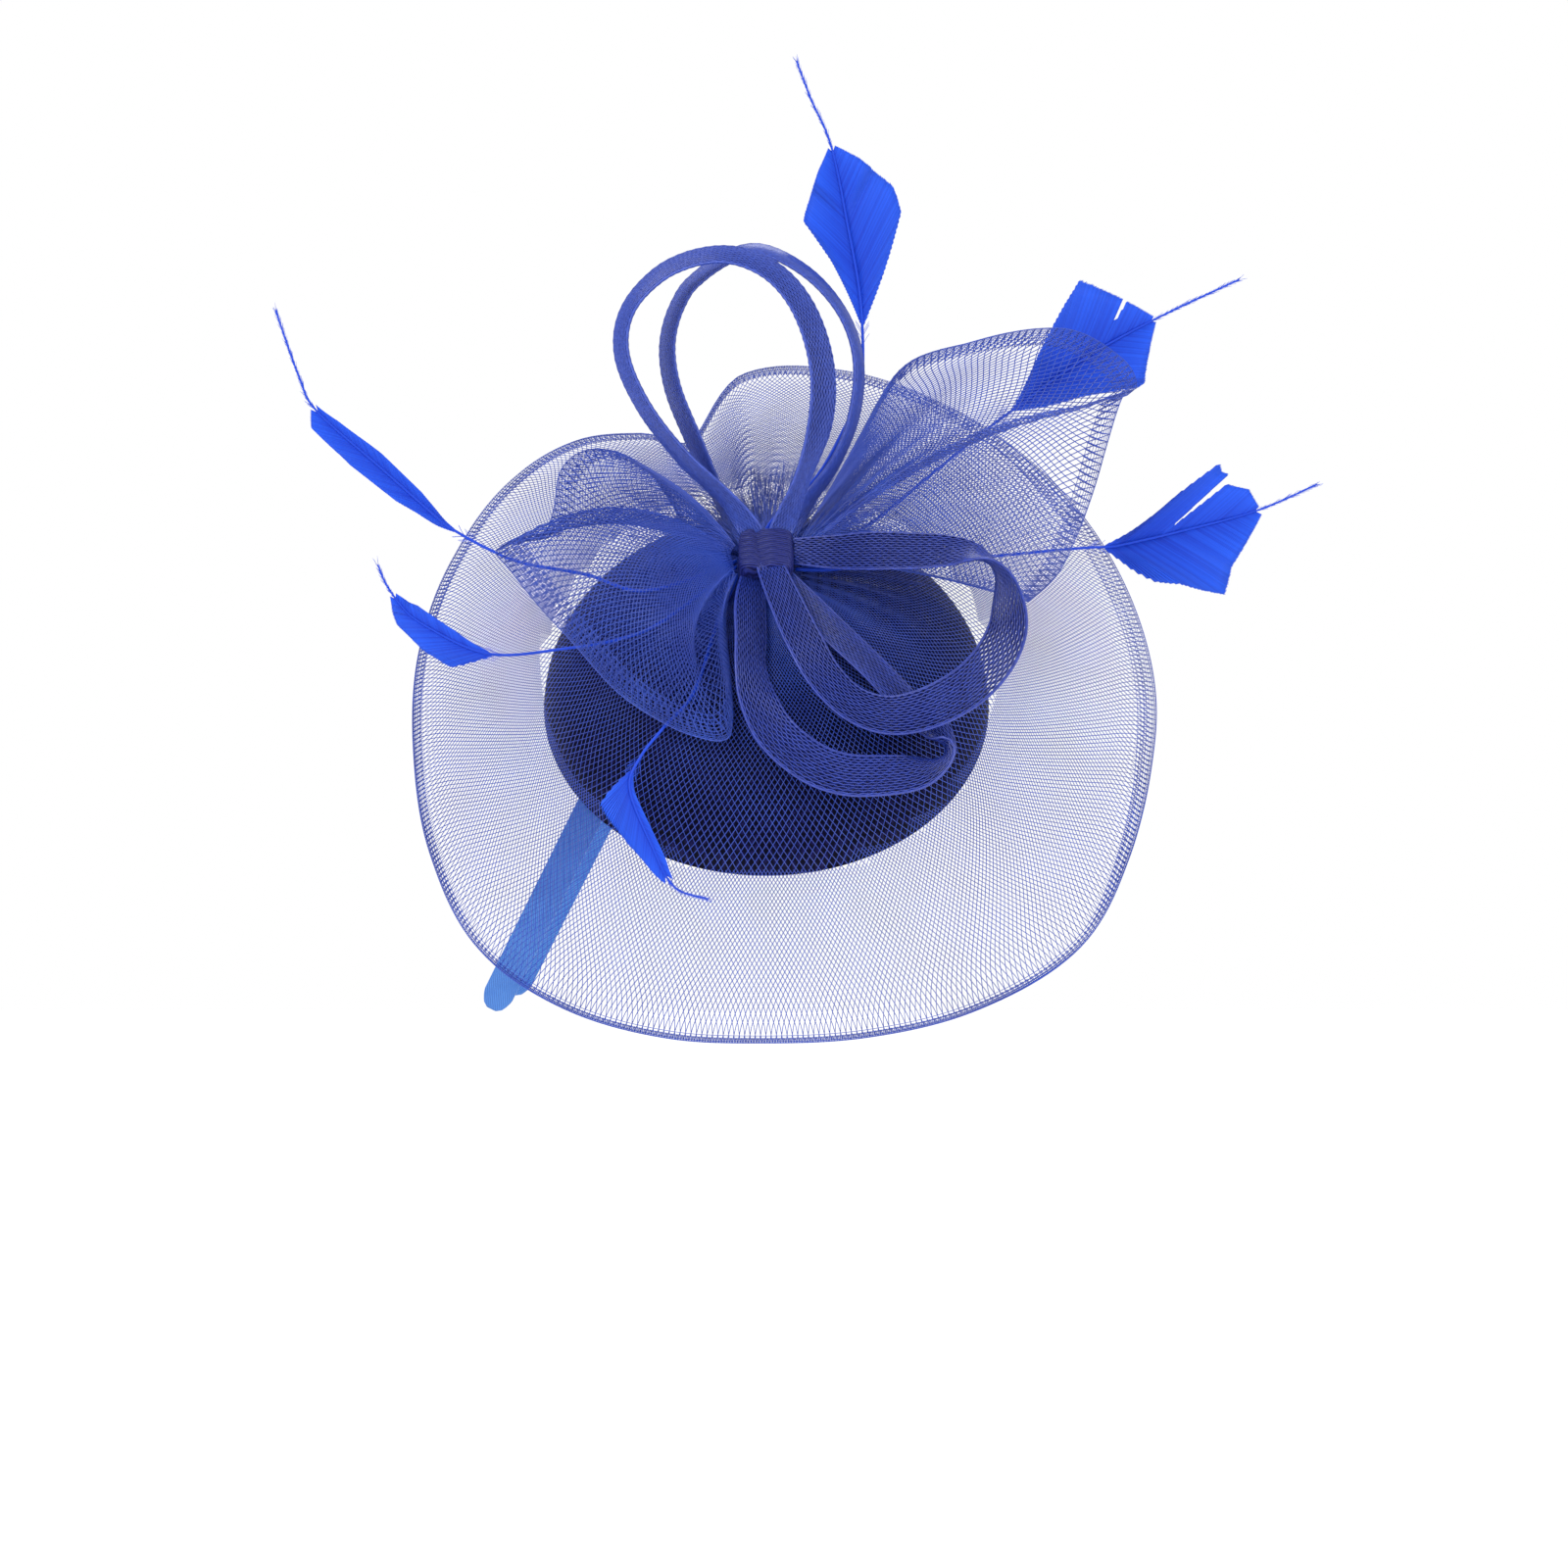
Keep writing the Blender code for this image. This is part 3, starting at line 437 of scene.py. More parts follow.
def veil_hem_chains():
    """Threads that run side by side along the rim, on both faces of the fold."""
    turn = np.linspace(0, 360, 241)
    width = np.interp(turn, *zip(*HEM_ROWS))
    chains = []
    for line in range(HEM_LINES):
        place = (line / (HEM_LINES - 1)) ** HEM_CROWDING
        lift = CROSSING_GAP if line % 2 else -HEM_BEHIND * min(1, 3 * place)
        chains.append(veil_points(turn, 1 - place * width / VEIL_REACH, lift))
    return chains


def gather_chains():
    """Bunched threads that stand up from the knot and fan out towards the top of the veil."""
    dice = np.random.default_rng(GATHER_SEED)
    chains = []
    for _ in range(GATHER_THREADS):
        shares = np.linspace(0.05, dice.uniform(*GATHER_REACH), GATHER_STEPS)
        turn = dice.normal(*GATHER_FAN) + dice.uniform(-GATHER_TURN, GATHER_TURN) * shares
        chains.append(veil_points(turn, shares, GATHER_LIFT * dice.uniform(0.2, 1.5)))
    return chains


veil = threads("veil_net", veil_chains(), net_finish)
gathers = threads("veil_gathers", gather_chains(), net_finish, HEM_THREAD)
veil_hem = threads("veil_hem", veil_hem_chains(), net_finish, HEM_THREAD)
rim_points = veil_points(np.linspace(0, 360, 361), np.ones(361))
RIM_LENGTH = float(np.linalg.norm(np.diff(rim_points, axis=0), axis=1).sum())
print("veil triangles and surface:", size_of(veil), "rim length:", round(RIM_LENGTH, 3))

# %% [markdown]
# Each ruffle is a sheet of the same net, gathered at the knot. Its table runs along the free edge:
# where the edge is, how far the sheet bellies between the knot and the edge, and where its root
# is. Threads cross it in the same spirals and run on to the root, so the net is dense there.

# %% The ruffles' tables
RUFFLES = {
    "left_ruffle": {"reach": 0.1, "side": -1, "rows": (
        (-0.26, 0.17, 0.06, 0, 0.02, 0.02, 0.46, 0.78), (-0.31, 0.28, 0.1, 0, 0.03, 0.03, 0.42, 0.78),
        (-0.39, 0.41, 0.16, 0, 0.03, 0.03, 0.38, 0.78), (-0.48, 0.48, 0.2, 0, 0.02, 0.02, 0.34, 0.78),
        (-0.57, 0.49, 0.23, 0, 0.01, 0.02, 0.3, 0.78), (-0.64, 0.46, 0.24, 0, 0, 0.01, 0.27, 0.78),
        (-0.685, 0.39, 0.23, 0, 0, 0.01, 0.24, 0.78), (-0.7, 0.27, 0.19, 0, 0, 0.01, 0.21, 0.8),
        (-0.74, 0.17, 0.18, 0, 0.05, 0.03, 0.18, 0.84), (-0.88, 0.08, 0.27, 0, 0.12, 0.06, 0.14, 0.9),
        (-0.83, -0.03, 0.27, -0.01, 0.09, 0.08, 0.08, 0.92),
        (-0.74, -0.17, 0.23, -0.02, 0.05, 0.09, 0, 0.94),
        (-0.64, -0.3, 0.18, -0.03, 0.02, 0.1, -0.08, 0.94),
        (-0.48, -0.5, 0.1, -0.04, 0, 0.1, -0.17, 0.94),
        (-0.32, -0.63, 0.07, -0.06, -0.01, 0.09, -0.26, 0.94),
        (-0.19, -0.69, 0.06, -0.09, 0, 0.07, -0.34, 0.94),
        (-0.12, -0.69, 0.055, -0.12, 0.01, 0.05, -0.42, 0.94),
        (-0.105, -0.62, 0.045, -0.06, 0.02, 0.03, -0.46, 0.9),
        (-0.11, -0.5, 0.035, -0.035, 0.02, 0.02, -0.47, 0.85),
        (-0.12, -0.38, 0.03, -0.02, 0.01, 0.015, -0.48, 0.78),
    )},
    "right_ruffle": {"reach": 0.14, "side": 1, "rows": (
        (0.15, 0.14, 0.025, 0.01, 0, 0, 0.47, 0.74), (0.2, 0.34, 0.065, 0.01, 0, 0, 0.44, 0.74),
        (0.27, 0.55, 0.12, 0, 0, -0.01, 0.41, 0.74), (0.35, 0.635, 0.19, 0, 0, -0.01, 0.38, 0.74),
        (0.51, 0.67, 0.25, 0, 0.01, 0.01, 0.34, 0.74), (0.65, 0.65, 0.32, 0, 0, 0.03, 0.3, 0.74),
        (0.75, 0.62, 0.345, 0, 0, 0.04, 0.26, 0.75), (0.85, 0.54, 0.345, 0, 0.02, 0.05, 0.22, 0.76),
        (0.875, 0.465, 0.345, 0, 0.03, 0.06, 0.18, 0.79),
        (0.84, 0.41, 0.375, 0, 0.05, 0.07, 0.14, 0.84),
        (0.805, 0.32, 0.335, 0, 0.05, 0.07, 0.06, 0.86),
        (0.77, 0.22, 0.26, 0, 0.04, 0.06, -0.04, 0.87),
        (0.73, 0.12, 0.2, 0, 0.025, 0.05, -0.14, 0.87),
        (0.68, 0.02, 0.15, 0, 0.02, 0.04, -0.24, 0.87), (0.61, -0.06, 0.12, 0, 0, 0.015, -0.34, 0.87),
    )},
}

# %% Ruffle surfaces
RUFFLE_LINES_PER_ROW = 8
RUFFLE_SPANS = 28
RUFFLE_SLANTS = ((0.0, 0.10), (0.2, 0.35), (0.5, 0.75), (0.85, 0.80), (1.0, 0.25))
RUFFLE_MESH = 0.0026
RUFFLE_STEP = 0.0036
RUFFLE_THREAD = 0.00019
RUFFLE_HEM = 0.0065
RUFFLE_START = 0.03
GATHER_RISE = 0.0009
GATHER_COUNT = 13


def knot_half_width(lift):
    """Half the knot's width at a height over the net."""
    share = (lift - KNOT_LIFT) / (KNOT_DEPTH / 2)
    return KNOT_WIDTH / 2 * max(1 - abs(share) ** 4, 0) ** 0.25


def ruffle_grid(plan):
    """Points of a ruffle, lines along its edge by spans from root to edge, in crown axes."""
    rows, reach, side = plan["rows"], plan["reach"], plan["side"]
    count = RUFFLE_LINES_PER_ROW * (len(rows) - 1)
    share = np.linspace(0, 1, RUFFLE_SPANS + 1)[:, None]
    gather = np.sin(math.pi * share[:, 0]) ** 0.7 * np.exp(-((share[:, 0] / 0.55) ** 2))
    grid = []
    for line in range(count + 1):
        row = smooth_row(rows, line / RUFFLE_LINES_PER_ROW)
        edge, belly = np.array(row[0:3]) * reach, np.array(row[3:6]) * reach
        root_lift = row[7] * KNOT_LIFT
        root_side = side * (knot_half_width(root_lift) + SEAT_GAP)
        root = np.array([root_side, row[6] * KNOT_HEIGHT, root_lift])
        spots = root + (edge - root) * share + belly * np.sin(math.pi * share)
        wave = math.sin(2 * math.pi * GATHER_COUNT * line / count)
        spots[:, 2] += GATHER_RISE * gather * wave * (1 if side > 0 else 0.8)
        grid.append(over_net(spots))
    return np.array(grid)


def sheet_normals(grid):
    """Unit vectors that stand out of a grid of points, towards the viewer."""
    out = np.cross(np.gradient(grid, axis=0), np.gradient(grid, axis=1))
    out /= np.maximum(np.linalg.norm(out, axis=-1, keepdims=True), 1e-9)
    return out * np.sign((out * np.array(TOWARD_VIEWER)).sum(axis=-1).mean())


def pick(grid, line, span):
    """Values of a grid at fractional lines and spans."""
    line = np.clip(line, 0, grid.shape[0] - 1.001)
    span = np.clip(span, 0, grid.shape[1] - 1.001)
    low_line, low_span = line.astype(int), span.astype(int)
    t, s = (line - low_line)[:, None], (span - low_span)[:, None]
    near = grid[low_line, low_span] * (1 - s) + grid[low_line, low_span + 1] * s
    far = grid[low_line + 1, low_span] * (1 - s) + grid[low_line + 1, low_span + 1] * s
    return near * (1 - t) + far * t


def ruffle_chains(grid):
    """Slanting threads both ways, cut where they run off the ruffle's sides."""
    out = sheet_normals(grid)
    edge_run = run_along(grid[:, -1])
    reach = np.linalg.norm(np.diff(grid, axis=1), axis=-1).sum(axis=1).mean()
    share = np.linspace(RUFFLE_START, 1, 300)
    slants = np.interp(share, *zip(*RUFFLE_SLANTS))
    lean = np.concatenate([[0], np.cumsum(np.diff(share) * (slants / share)[1:])]) * reach
    lean -= lean[-1]
    steps = int(reach / RUFFLE_STEP)
    chains = []
    for direction in (-1, 1):
        starts = np.arange(lean[0] - 0.01, edge_run[-1] - lean[0] + 0.01, RUFFLE_MESH)
        for number, place in enumerate(starts):
            shares = np.linspace(RUFFLE_START * (1 + number % 3), 1, steps)
            run = place + direction * np.interp(shares, share, lean)
            inside = (run >= 0) & (run <= edge_run[-1])
            if inside.sum() < 2:
                continue
            line = np.interp(run[inside], edge_run, np.arange(len(edge_run)))
            span = shares[inside] * RUFFLE_SPANS
            spots = pick(grid, line, span) + pick(out, line, span) * (direction * CROSSING_GAP)
            behind = 1 - np.array([0.4, 1.0]) * RUFFLE_HEM / reach
            run = place - direction * np.interp(behind, share, lean)
            if inside[-1] and (run >= 0).all() and (run <= edge_run[-1]).all():
                line = np.interp(run, edge_run, np.arange(len(edge_run)))
                span = behind * RUFFLE_SPANS
                under = pick(grid, line, span) - pick(out, line, span) * HEM_BEHIND
                spots = np.concatenate([spots, under])
            chains.append(spots)
    return chains, edge_run[-1], reach


def hem_chains(grid, edge_length, reach_length):
    """Threads that run side by side along the three free sides of a sheet."""
    last_line, last_span = grid.shape[0] - 1, grid.shape[1] - 1
    chains = []
    for place in np.linspace(0, 1, HEM_LINES) ** HEM_CROWDING:
        span_in = place * RUFFLE_HEM / reach_length * last_span
        line_in = place * RUFFLE_HEM / edge_length * last_line
        line = np.linspace(0, last_line, 90)
        chains.append(pick(grid, line, np.full(90, last_span - span_in)))
        span = np.linspace(0.06 * last_span, last_span, 30)
        chains.append(pick(grid, np.full(30, line_in), span))
        chains.append(pick(grid, np.full(30, last_line - line_in), span))
    return chains


# %% Make the ruffles
ruffles = {}
for name, plan in RUFFLES.items():
    grid = ruffle_grid(plan)
    chains, edge_length, reach_length = ruffle_chains(grid)
    net = threads(name + "_net", chains, net_finish, RUFFLE_THREAD)
    rows = hem_chains(grid, edge_length, reach_length)
    hem = threads(name + "_hem", rows, net_finish, HEM_THREAD)
    ruffles[name] = (net, hem, edge_length, reach_length)
    print(name, "edge and reach:", round(edge_length, 3), round(reach_length, 3), size_of(net))

# %% [markdown]
# The crown is a stiff dome covered with a dense dark net. It is turned about its axis like a bowl:
# its profile goes down the outside, rolls round the bound rim and comes back up inside.

# %% Crown
CROWN_SIDES = 160
CROWN_STEPS = 36
BINDING = 0.0013


def tube_faces(rings, size, first=0):
    """The four-sided faces between rings of equal size, whose points are numbered from first."""
    faces = []
    for ring in range(rings - 1):
        here, there = first + ring * size, first + (ring + 1) * size
        for side in range(size):
            after = (side + 1) % size
            faces.append((here + side, here + after, there + after, there + side))
    return faces


def solid(name, points, faces, finish, uv=None):
    """A smooth closed mesh in crown axes, with its faces turned out and an optional UV a point."""
    mesh = bpy.data.meshes.new(name)
    mesh.from_pydata(to_world(points).tolist(), [], faces)
    if uv is not None:
        layer = mesh.uv_layers.new(name="run")
        for loop in mesh.loops:
            layer.data[loop.index].uv = uv[loop.vertex_index]
    mesh.materials.append(finish)
    edit = bmesh.new()
    edit.from_mesh(mesh)
    bmesh.ops.recalc_face_normals(edit, faces=edit.faces)
    edit.to_mesh(mesh)
    edit.free()
    mesh.shade_smooth()
    return add(name, mesh)


def crown_profile():
    """Outside from the top down, the rolled rim, and the inside back up."""
    turn = np.linspace(math.pi / 2, 0, CROWN_STEPS)
    share = np.cos(turn) ** (2 / CROWN_FULLNESS)
    outside = list(zip(CROWN_DIAMETER / 2 * share, CROWN_HEIGHT * np.sin(turn)))
    inner = CROWN_DIAMETER / 2 - CROWN_WALL
    inside = list(zip(inner * share[::-1], (CROWN_HEIGHT - CROWN_WALL) * np.sin(turn[::-1])))
    roll = []
    for step in range(1, 8):
        bend = -math.pi * step / 8
        middle = CROWN_DIAMETER / 2 - CROWN_WALL / 2
        roll.append((middle + BINDING * math.cos(bend), BINDING * 0.5 * math.sin(bend)))
    return outside + roll + inside


def make_crown(profile):
    """The closed round shape whose (radius, height) pairs begin and end on the axis."""
    points = []
    for radius, height in profile[1:-1]:
        for side in range(CROWN_SIDES):
            turn = 2 * math.pi * side / CROWN_SIDES
            points.append((radius * math.cos(turn), radius * math.sin(turn), height))
    faces = tube_faces(len(profile) - 2, CROWN_SIDES)
    top, bottom, last = len(points), len(points) + 1, len(points) - CROWN_SIDES
    points += [(0, 0, profile[0][1]), (0, 0, profile[-1][1])]
    for side in range(CROWN_SIDES):
        after = (side + 1) % CROWN_SIDES
        faces += [(top, side, after), (bottom, last + after, last + side)]
    return solid("crown_cover", points, faces, crown_finish)


CROWN_SHADES = ((0.0008, 0.0006, 0.009), (0.012, 0.011, 0.085))
crown_finish, crown_nodes, crown_shader = principled("crown_net", 0.6, Specular_IOR_Level=0.06)


def ribbed(tree, axis_turn, pitch, coordinate="Object", soft=0.0):
    """A 0 to 1 wave across parallel lines: turned coordinates feed one Wave texture."""
    place = tree.nodes.new("ShaderNodeTexCoord")
    turn = tree.nodes.new("ShaderNodeMapping")
    wave = tree.nodes.new("ShaderNodeTexWave")
    turn.inputs["Rotation"].default_value = axis_turn
    wave.bands_direction = "X"
    wave.inputs["Scale"].default_value = 1 / pitch / 3.1831
    wave.inputs["Distortion"].default_value = soft
    wave.inputs["Detail Scale"].default_value = 2.0
    tree.links.new(place.outputs[coordinate], turn.inputs["Vector"])
    tree.links.new(turn.outputs["Vector"], wave.inputs["Vector"])
    return wave.outputs["Fac"]


def combine(tree, how, first, second):
    """Two values brought together by one Math node."""
    math_node = tree.nodes.new("ShaderNodeMath")
    math_node.operation = how
    for socket, value in zip(math_node.inputs, (first, second)):
        if isinstance(value, (int, float)):
            socket.default_value = value
        else:
            tree.links.new(value, socket)
    return math_node.outputs["Value"]


def bumpy(tree, shader, height, distance, strength=1.0):
    """Relief on a shader from a 0 to 1 height."""
    bump = tree.nodes.new("ShaderNodeBump")
    bump.inputs["Distance"].default_value = distance
    bump.inputs["Strength"].default_value = strength
    tree.links.new(height, bump.inputs["Height"])
    tree.links.new(bump.outputs["Normal"], shader.inputs["Normal"])


CROWN_CELL = 0.0014
CELL_SLANT = math.radians(62)
one_way = ribbed(crown_nodes, (-CROWN_TILT, 0, CELL_SLANT), CROWN_CELL, soft=0.6)
other_way = ribbed(crown_nodes, (-CROWN_TILT, 0, -CELL_SLANT), CROWN_CELL, soft=0.6)
weave = combine(crown_nodes, "MULTIPLY", one_way, other_way)
clouds = combine(crown_nodes, "ADD", cloudy(crown_nodes, 40), 0.5)
uneven = combine(crown_nodes, "MULTIPLY", weave, clouds)
shaded(crown_nodes, crown_shader, uneven, *CROWN_SHADES)
bumpy(crown_nodes, crown_shader, weave, 0.0003)
crown = make_crown(crown_profile())
print("crown triangles and surface:", size_of(crown))

# %% [markdown]
# The ribbon is a narrow tube of lengthwise satin threads, pressed flat. Each thread wavers against
# its neighbours, which leaves small gaps, so the threads are laid one by one on both faces, with a
# thicker cord at each side. The route's points are the model's.

# %% The loops' tables
LOOPS = {
    "upper_loop_front": {"reach": 0.1, "roots": ("top", "top"), "rows": (
        (-0.043, 0.068, 0.12, 0.54, 8), (-0.13, 0.17, 0.21, 0.66, 60), (-0.27, 0.27, 0.33, 1, 74),
        (-0.4, 0.38, 0.5, 1, 74), (-0.47, 0.51, 0.65, 1, 72), (-0.44, 0.62, 0.77, 1, 70),
        (-0.31, 0.71, 0.86, 1, 66), (-0.15, 0.73, 0.87, 1, 64), (0.01, 0.69, 0.82, 1, 60),
        (0.12, 0.6, 0.72, 1, 57), (0.18, 0.46, 0.58, 1, 56), (0.175, 0.32, 0.43, 1, 58),
        (0.11, 0.18, 0.26, 0.7, 60), (0.043, 0.068, 0.12, 0.54, 8),
    )},
    "upper_loop_back": {"reach": 0.1, "roots": ("top", "top"), "rows": (
        (-0.043, 0.068, 0.073, 0.54, 8), (-0.13, 0.22, 0.11, 0.6, 60), (-0.24, 0.4, 0.31, 1, 70),
        (-0.31, 0.54, 0.46, 1, 70), (-0.32, 0.66, 0.59, 1, 70), (-0.26, 0.77, 0.7, 1, 70),
        (-0.13, 0.85, 0.75, 1, 70), (-0.01, 0.87, 0.76, 1, 72), (0.14, 0.81, 0.7, 1, 74),
        (0.25, 0.71, 0.61, 1, 77), (0.3, 0.6, 0.5, 1, 78), (0.29, 0.47, 0.37, 1, 78),
        (0.23, 0.33, 0.255, 0.9, 78), (0.13, 0.2, 0.155, 0.6, 60), (0.043, 0.068, 0.073, 0.54, 8),
    )},
    "right_loop": {"reach": 0.08, "roots": ("right", "bottom"), "rows": (
        (0.116, 0, 0.136, 0.62, 12), (0.27, -0.04, 0.185, 0.85, 22), (0.43, -0.09, 0.27, 1, 27),
        (0.58, -0.125, 0.35, 1, 32), (0.72, -0.15, 0.43, 1, 42), (0.83, -0.18, 0.49, 1, 62),
        (0.91, -0.24, 0.52, 1, 92), (0.955, -0.34, 0.52, 1, 124), (0.965, -0.48, 0.49, 1, 150),
        (0.91, -0.6, 0.43, 1, 162), (0.8, -0.71, 0.36, 1, 166), (0.64, -0.79, 0.28, 1, 160),
        (0.48, -0.81, 0.21, 1, 150), (0.34, -0.76, 0.16, 1, 142), (0.23, -0.65, 0.15, 1, 142),
        (0.15, -0.49, 0.152, 0.95, 148), (0.08, -0.3, 0.15, 0.8, 158),
        (0.014, -0.085, 0.138, 0.62, 172),
    )},
    "bottom_loop": {"reach": 0.08, "roots": ("bottom", "bottom"), "rows": (
        (-0.054, -0.085, 0.07, 0.54, 8), (-0.063, -0.25, 0.083, 0.8, 28),
        (-0.062, -0.42, 0.1, 0.95, 42), (-0.06, -0.58, 0.11, 1, 48), (-0.03, -0.74, 0.115, 1, 34),
        (0.04, -0.88, 0.125, 1, 24), (0.16, -0.98, 0.15, 1, 20), (0.31, -1.03, 0.18, 1, 20),
        (0.48, -1.02, 0.2, 1, 26), (0.62, -0.98, 0.205, 1, 44), (0.72, -0.89, 0.195, 1, 90),
        (0.68, -0.79, 0.155, 1, 126), (0.56, -0.67, 0.1, 0.9, 134), (0.42, -0.52, 0.07, 0.8, 138),
        (0.29, -0.38, 0.06, 0.75, 146), (0.17, -0.23, 0.064, 0.62, 158),
        (0.054, -0.085, 0.07, 0.54, 172),
    )},
}

# %% Ribbon loops
KNOT_FACES = {"top": (0, 1, 0), "bottom": (0, -1, 0), "left": (-1, 0, 0), "right": (1, 0, 0)}
RIBBON_WIDTH = 0.014
RIBBON_THICK = 0.0009
RIBBON_STEP = 0.0014
RIBBON_THREADS = 15
RIBBON_THREAD = 0.00034
RIBBON_WAVER = 0.00019
SIDE_CORD = 0.00042


def route_points(rows, reach, step):
    """Evenly spaced points on the smooth curve through a route's rows, with the other columns."""
    fine = 16 * (len(rows) - 1)
    samples = np.array([smooth_row(rows, index / 16) for index in range(fine + 1)])
    spots = over_net(samples[:, :3] * reach)
    run = run_along(spots)
    wanted = np.linspace(0, run[-1], max(int(round(run[-1] / step)), 2) + 1)
    table = np.hstack([spots, samples[:, 3:]])
    even = np.array([np.interp(wanted, run, column) for column in table.T]).T
    return [Vector(row[:3]) for row in even], even[:, 3:].tolist(), run[-1]


def frames(points, start=None, end=None):
    """For each point: the way along, the side in the view plane, and the way to the viewer."""
    result = []
    for index in range(len(points)):
        after = points[min(index + 1, len(points) - 1)]
        before = points[max(index - 1, 0)]
        way = (after - before).normalized()
        if start and index == 0:
            way = Vector(KNOT_FACES[start])
        if end and index == len(points) - 1:
            way = -Vector(KNOT_FACES[end])
        side = way.cross(TOWARD_VIEWER).normalized()
        out = side.cross(way).normalized()
        result.append((way, side, out))
    return result


def swept(name, rings, finish, uv):
    """A tube through rings of equal size, closed by one face at each end."""
    size = len(rings[0])
    points = [tuple(point) for ring in rings for point in ring]
    last = len(points) - size
    ends = [tuple(reversed(range(size))), tuple(range(last, last + size))]
    faces = tube_faces(len(rings), size) + ends
    return solid(name, points, faces, finish, uv)


SATIN_SHADES = ((0.004, 0.009, 0.130), (0.038, 0.080, 0.520))
# Painted light: the upper loops, seen against the bright surround, get a lighter copy of the satin's
# shades.
BACKLIT_PAINTED_SATIN_SHADES = ((0.012, 0.030, 0.250), (0.060, 0.120, 0.620))


def braided(name, shades):
    """The ribbon's finish, in one pair of shades."""
    finish, nodes, shader = principled(name, 0.28, Specular_IOR_Level=0.6, Anisotropic=0.5)
    shaded(nodes, shader, cloudy(nodes, 700), *shades)
    return finish


satin_finish = braided("braided_satin", SATIN_SHADES)
backlit_painted_satin = braided("braided_satin_lit", BACKLIT_PAINTED_SATIN_SHADES)


def ribbon_chains(points, columns, axes):
    """Wavering threads on both faces of a ribbon, and its two side cords."""
    middles = -1 + 2 * (np.arange(RIBBON_THREADS) + 0.5) / RIBBON_THREADS
    lines = [(float(place), face, thread) for thread, place in enumerate(middles) for face in (-1, 1)]
    lines += [(-1, 0, 0), (1, 0, 0)]
    chains = [[] for _ in lines]
    for index, (spot, (width_share, lean), (way, side, out)) in enumerate(zip(points, columns, axes)):
        turn = math.radians(lean)
        wide = side * math.cos(turn) + out * math.sin(turn)
        thick = way.cross(wide)
        half = RIBBON_WIDTH * width_share / 2 - SIDE_CORD / 2
        for chain, (place, face, thread) in zip(chains, lines):
            waver = RIBBON_WAVER * width_share * (1 if (index + thread) % 2 else -1)
            across = half * place + (waver if face else 0)
            chain.append(spot + wide * across + thick * (face * RIBBON_THICK / 2 * width_share**0.5))
    return chains[:-2], chains[-2:]


def ribbon_loop(name, plan):
    """A ribbon of threads along its route, leaning as it turns and narrowing where it is tied."""
    points, columns, length = route_points(plan["rows"], plan["reach"], RIBBON_STEP)
    faces, sides = ribbon_chains(points, columns, frames(points, *plan["roots"]))
    # The two upper loops take the lighter shades, which are painted light.
    finish = backlit_painted_satin if plan["roots"][0] == "top" else satin_finish
    braid = threads(name + "_ribbon", faces, finish, RIBBON_THREAD)
    cords = threads(name + "_cords", sides, finish, SIDE_CORD, 6)
    print(name, "length in mm:", round(length * 1000), size_of(braid))
    return braid, cords


loops = {name: ribbon_loop(name, plan) for name, plan in LOOPS.items()}

# %% [markdown]
# The knot is a strip of the same satin wrapped round the roots: two ridges with a slanting groove
# between. It is lofted through rounded sections, with the strip's fine threads cut into them.

# %% Knot
def rounded(turn, power):
    """Cosine and sine of a turn, pushed out towards the corners of a square."""
    spots = (math.cos(turn), math.sin(turn))
    return [math.copysign(abs(spot) ** power, spot) for spot in spots]


KNOT_GROOVE = 0.0013
KNOT_SECTIONS = 91
KNOT_WRAP = 1.25
KNOT_POINTS = 110
PLEAT_DEPTH = 0.00022
PLEAT_COUNT = 13
NECK_RADIUS = 0.004
NECK_SECTIONS = 9
NECK_POINTS = 40

knot_finish, knot_nodes, knot_shader = principled(
    "knot_satin", 0.36, Specular_IOR_Level=0.25, Anisotropic=0.5
)
KNOT_SHADES = ((0.006, 0.008, 0.075), (0.028, 0.040, 0.260))
PLEAT_PITCH = KNOT_HEIGHT / PLEAT_COUNT / 2
knot_thread = ribbed(knot_nodes, (0, 0, math.radians(6)), PLEAT_PITCH, "UV", soft=2.0)
shaded(knot_nodes, knot_shader, knot_thread, *KNOT_SHADES)
bumpy(knot_nodes, knot_shader, knot_thread, 0.00015, 0.7)


def make_knot():
    """Rounded sections up the knot, with its groove and pleats, a little taller than the solid."""
    centre = over_net(np.array([0, 0, KNOT_LIFT]))
    rings, uv = [], []
    for section in range(KNOT_SECTIONS):
        share = -1 + 2 * section / (KNOT_SECTIONS - 1)
        swell = 1 - 0.10 * share**4 - 0.10 * max(0, abs(share) - 0.9) / 0.1
        ring = []
        for point in range(KNOT_POINTS):
            turn = 2 * math.pi * point / KNOT_POINTS
            across, out = rounded(turn, 0.5)
            seen = max(out, 0) ** 2
            groove = KNOT_GROOVE * math.exp(-(((across + 0.27 + 0.12 * share) / 0.14) ** 2)) * seen
            ripple = share + 0.02 * math.sin(9 * across) + 0.03 * across
            pleat = PLEAT_DEPTH * math.cos(math.pi * PLEAT_COUNT * ripple)
            along = share * KNOT_HEIGHT / 2 * KNOT_WRAP
            lift = (out * KNOT_DEPTH / 2 - groove + pleat) * swell
            ring.append(centre + np.array([across * KNOT_WIDTH / 2 * swell, along, lift]))
            uv.append((along, point / KNOT_POINTS * 2 * KNOT_WIDTH))
        rings.append(ring)
    return swept("knot_wrap", rings, knot_finish, uv)


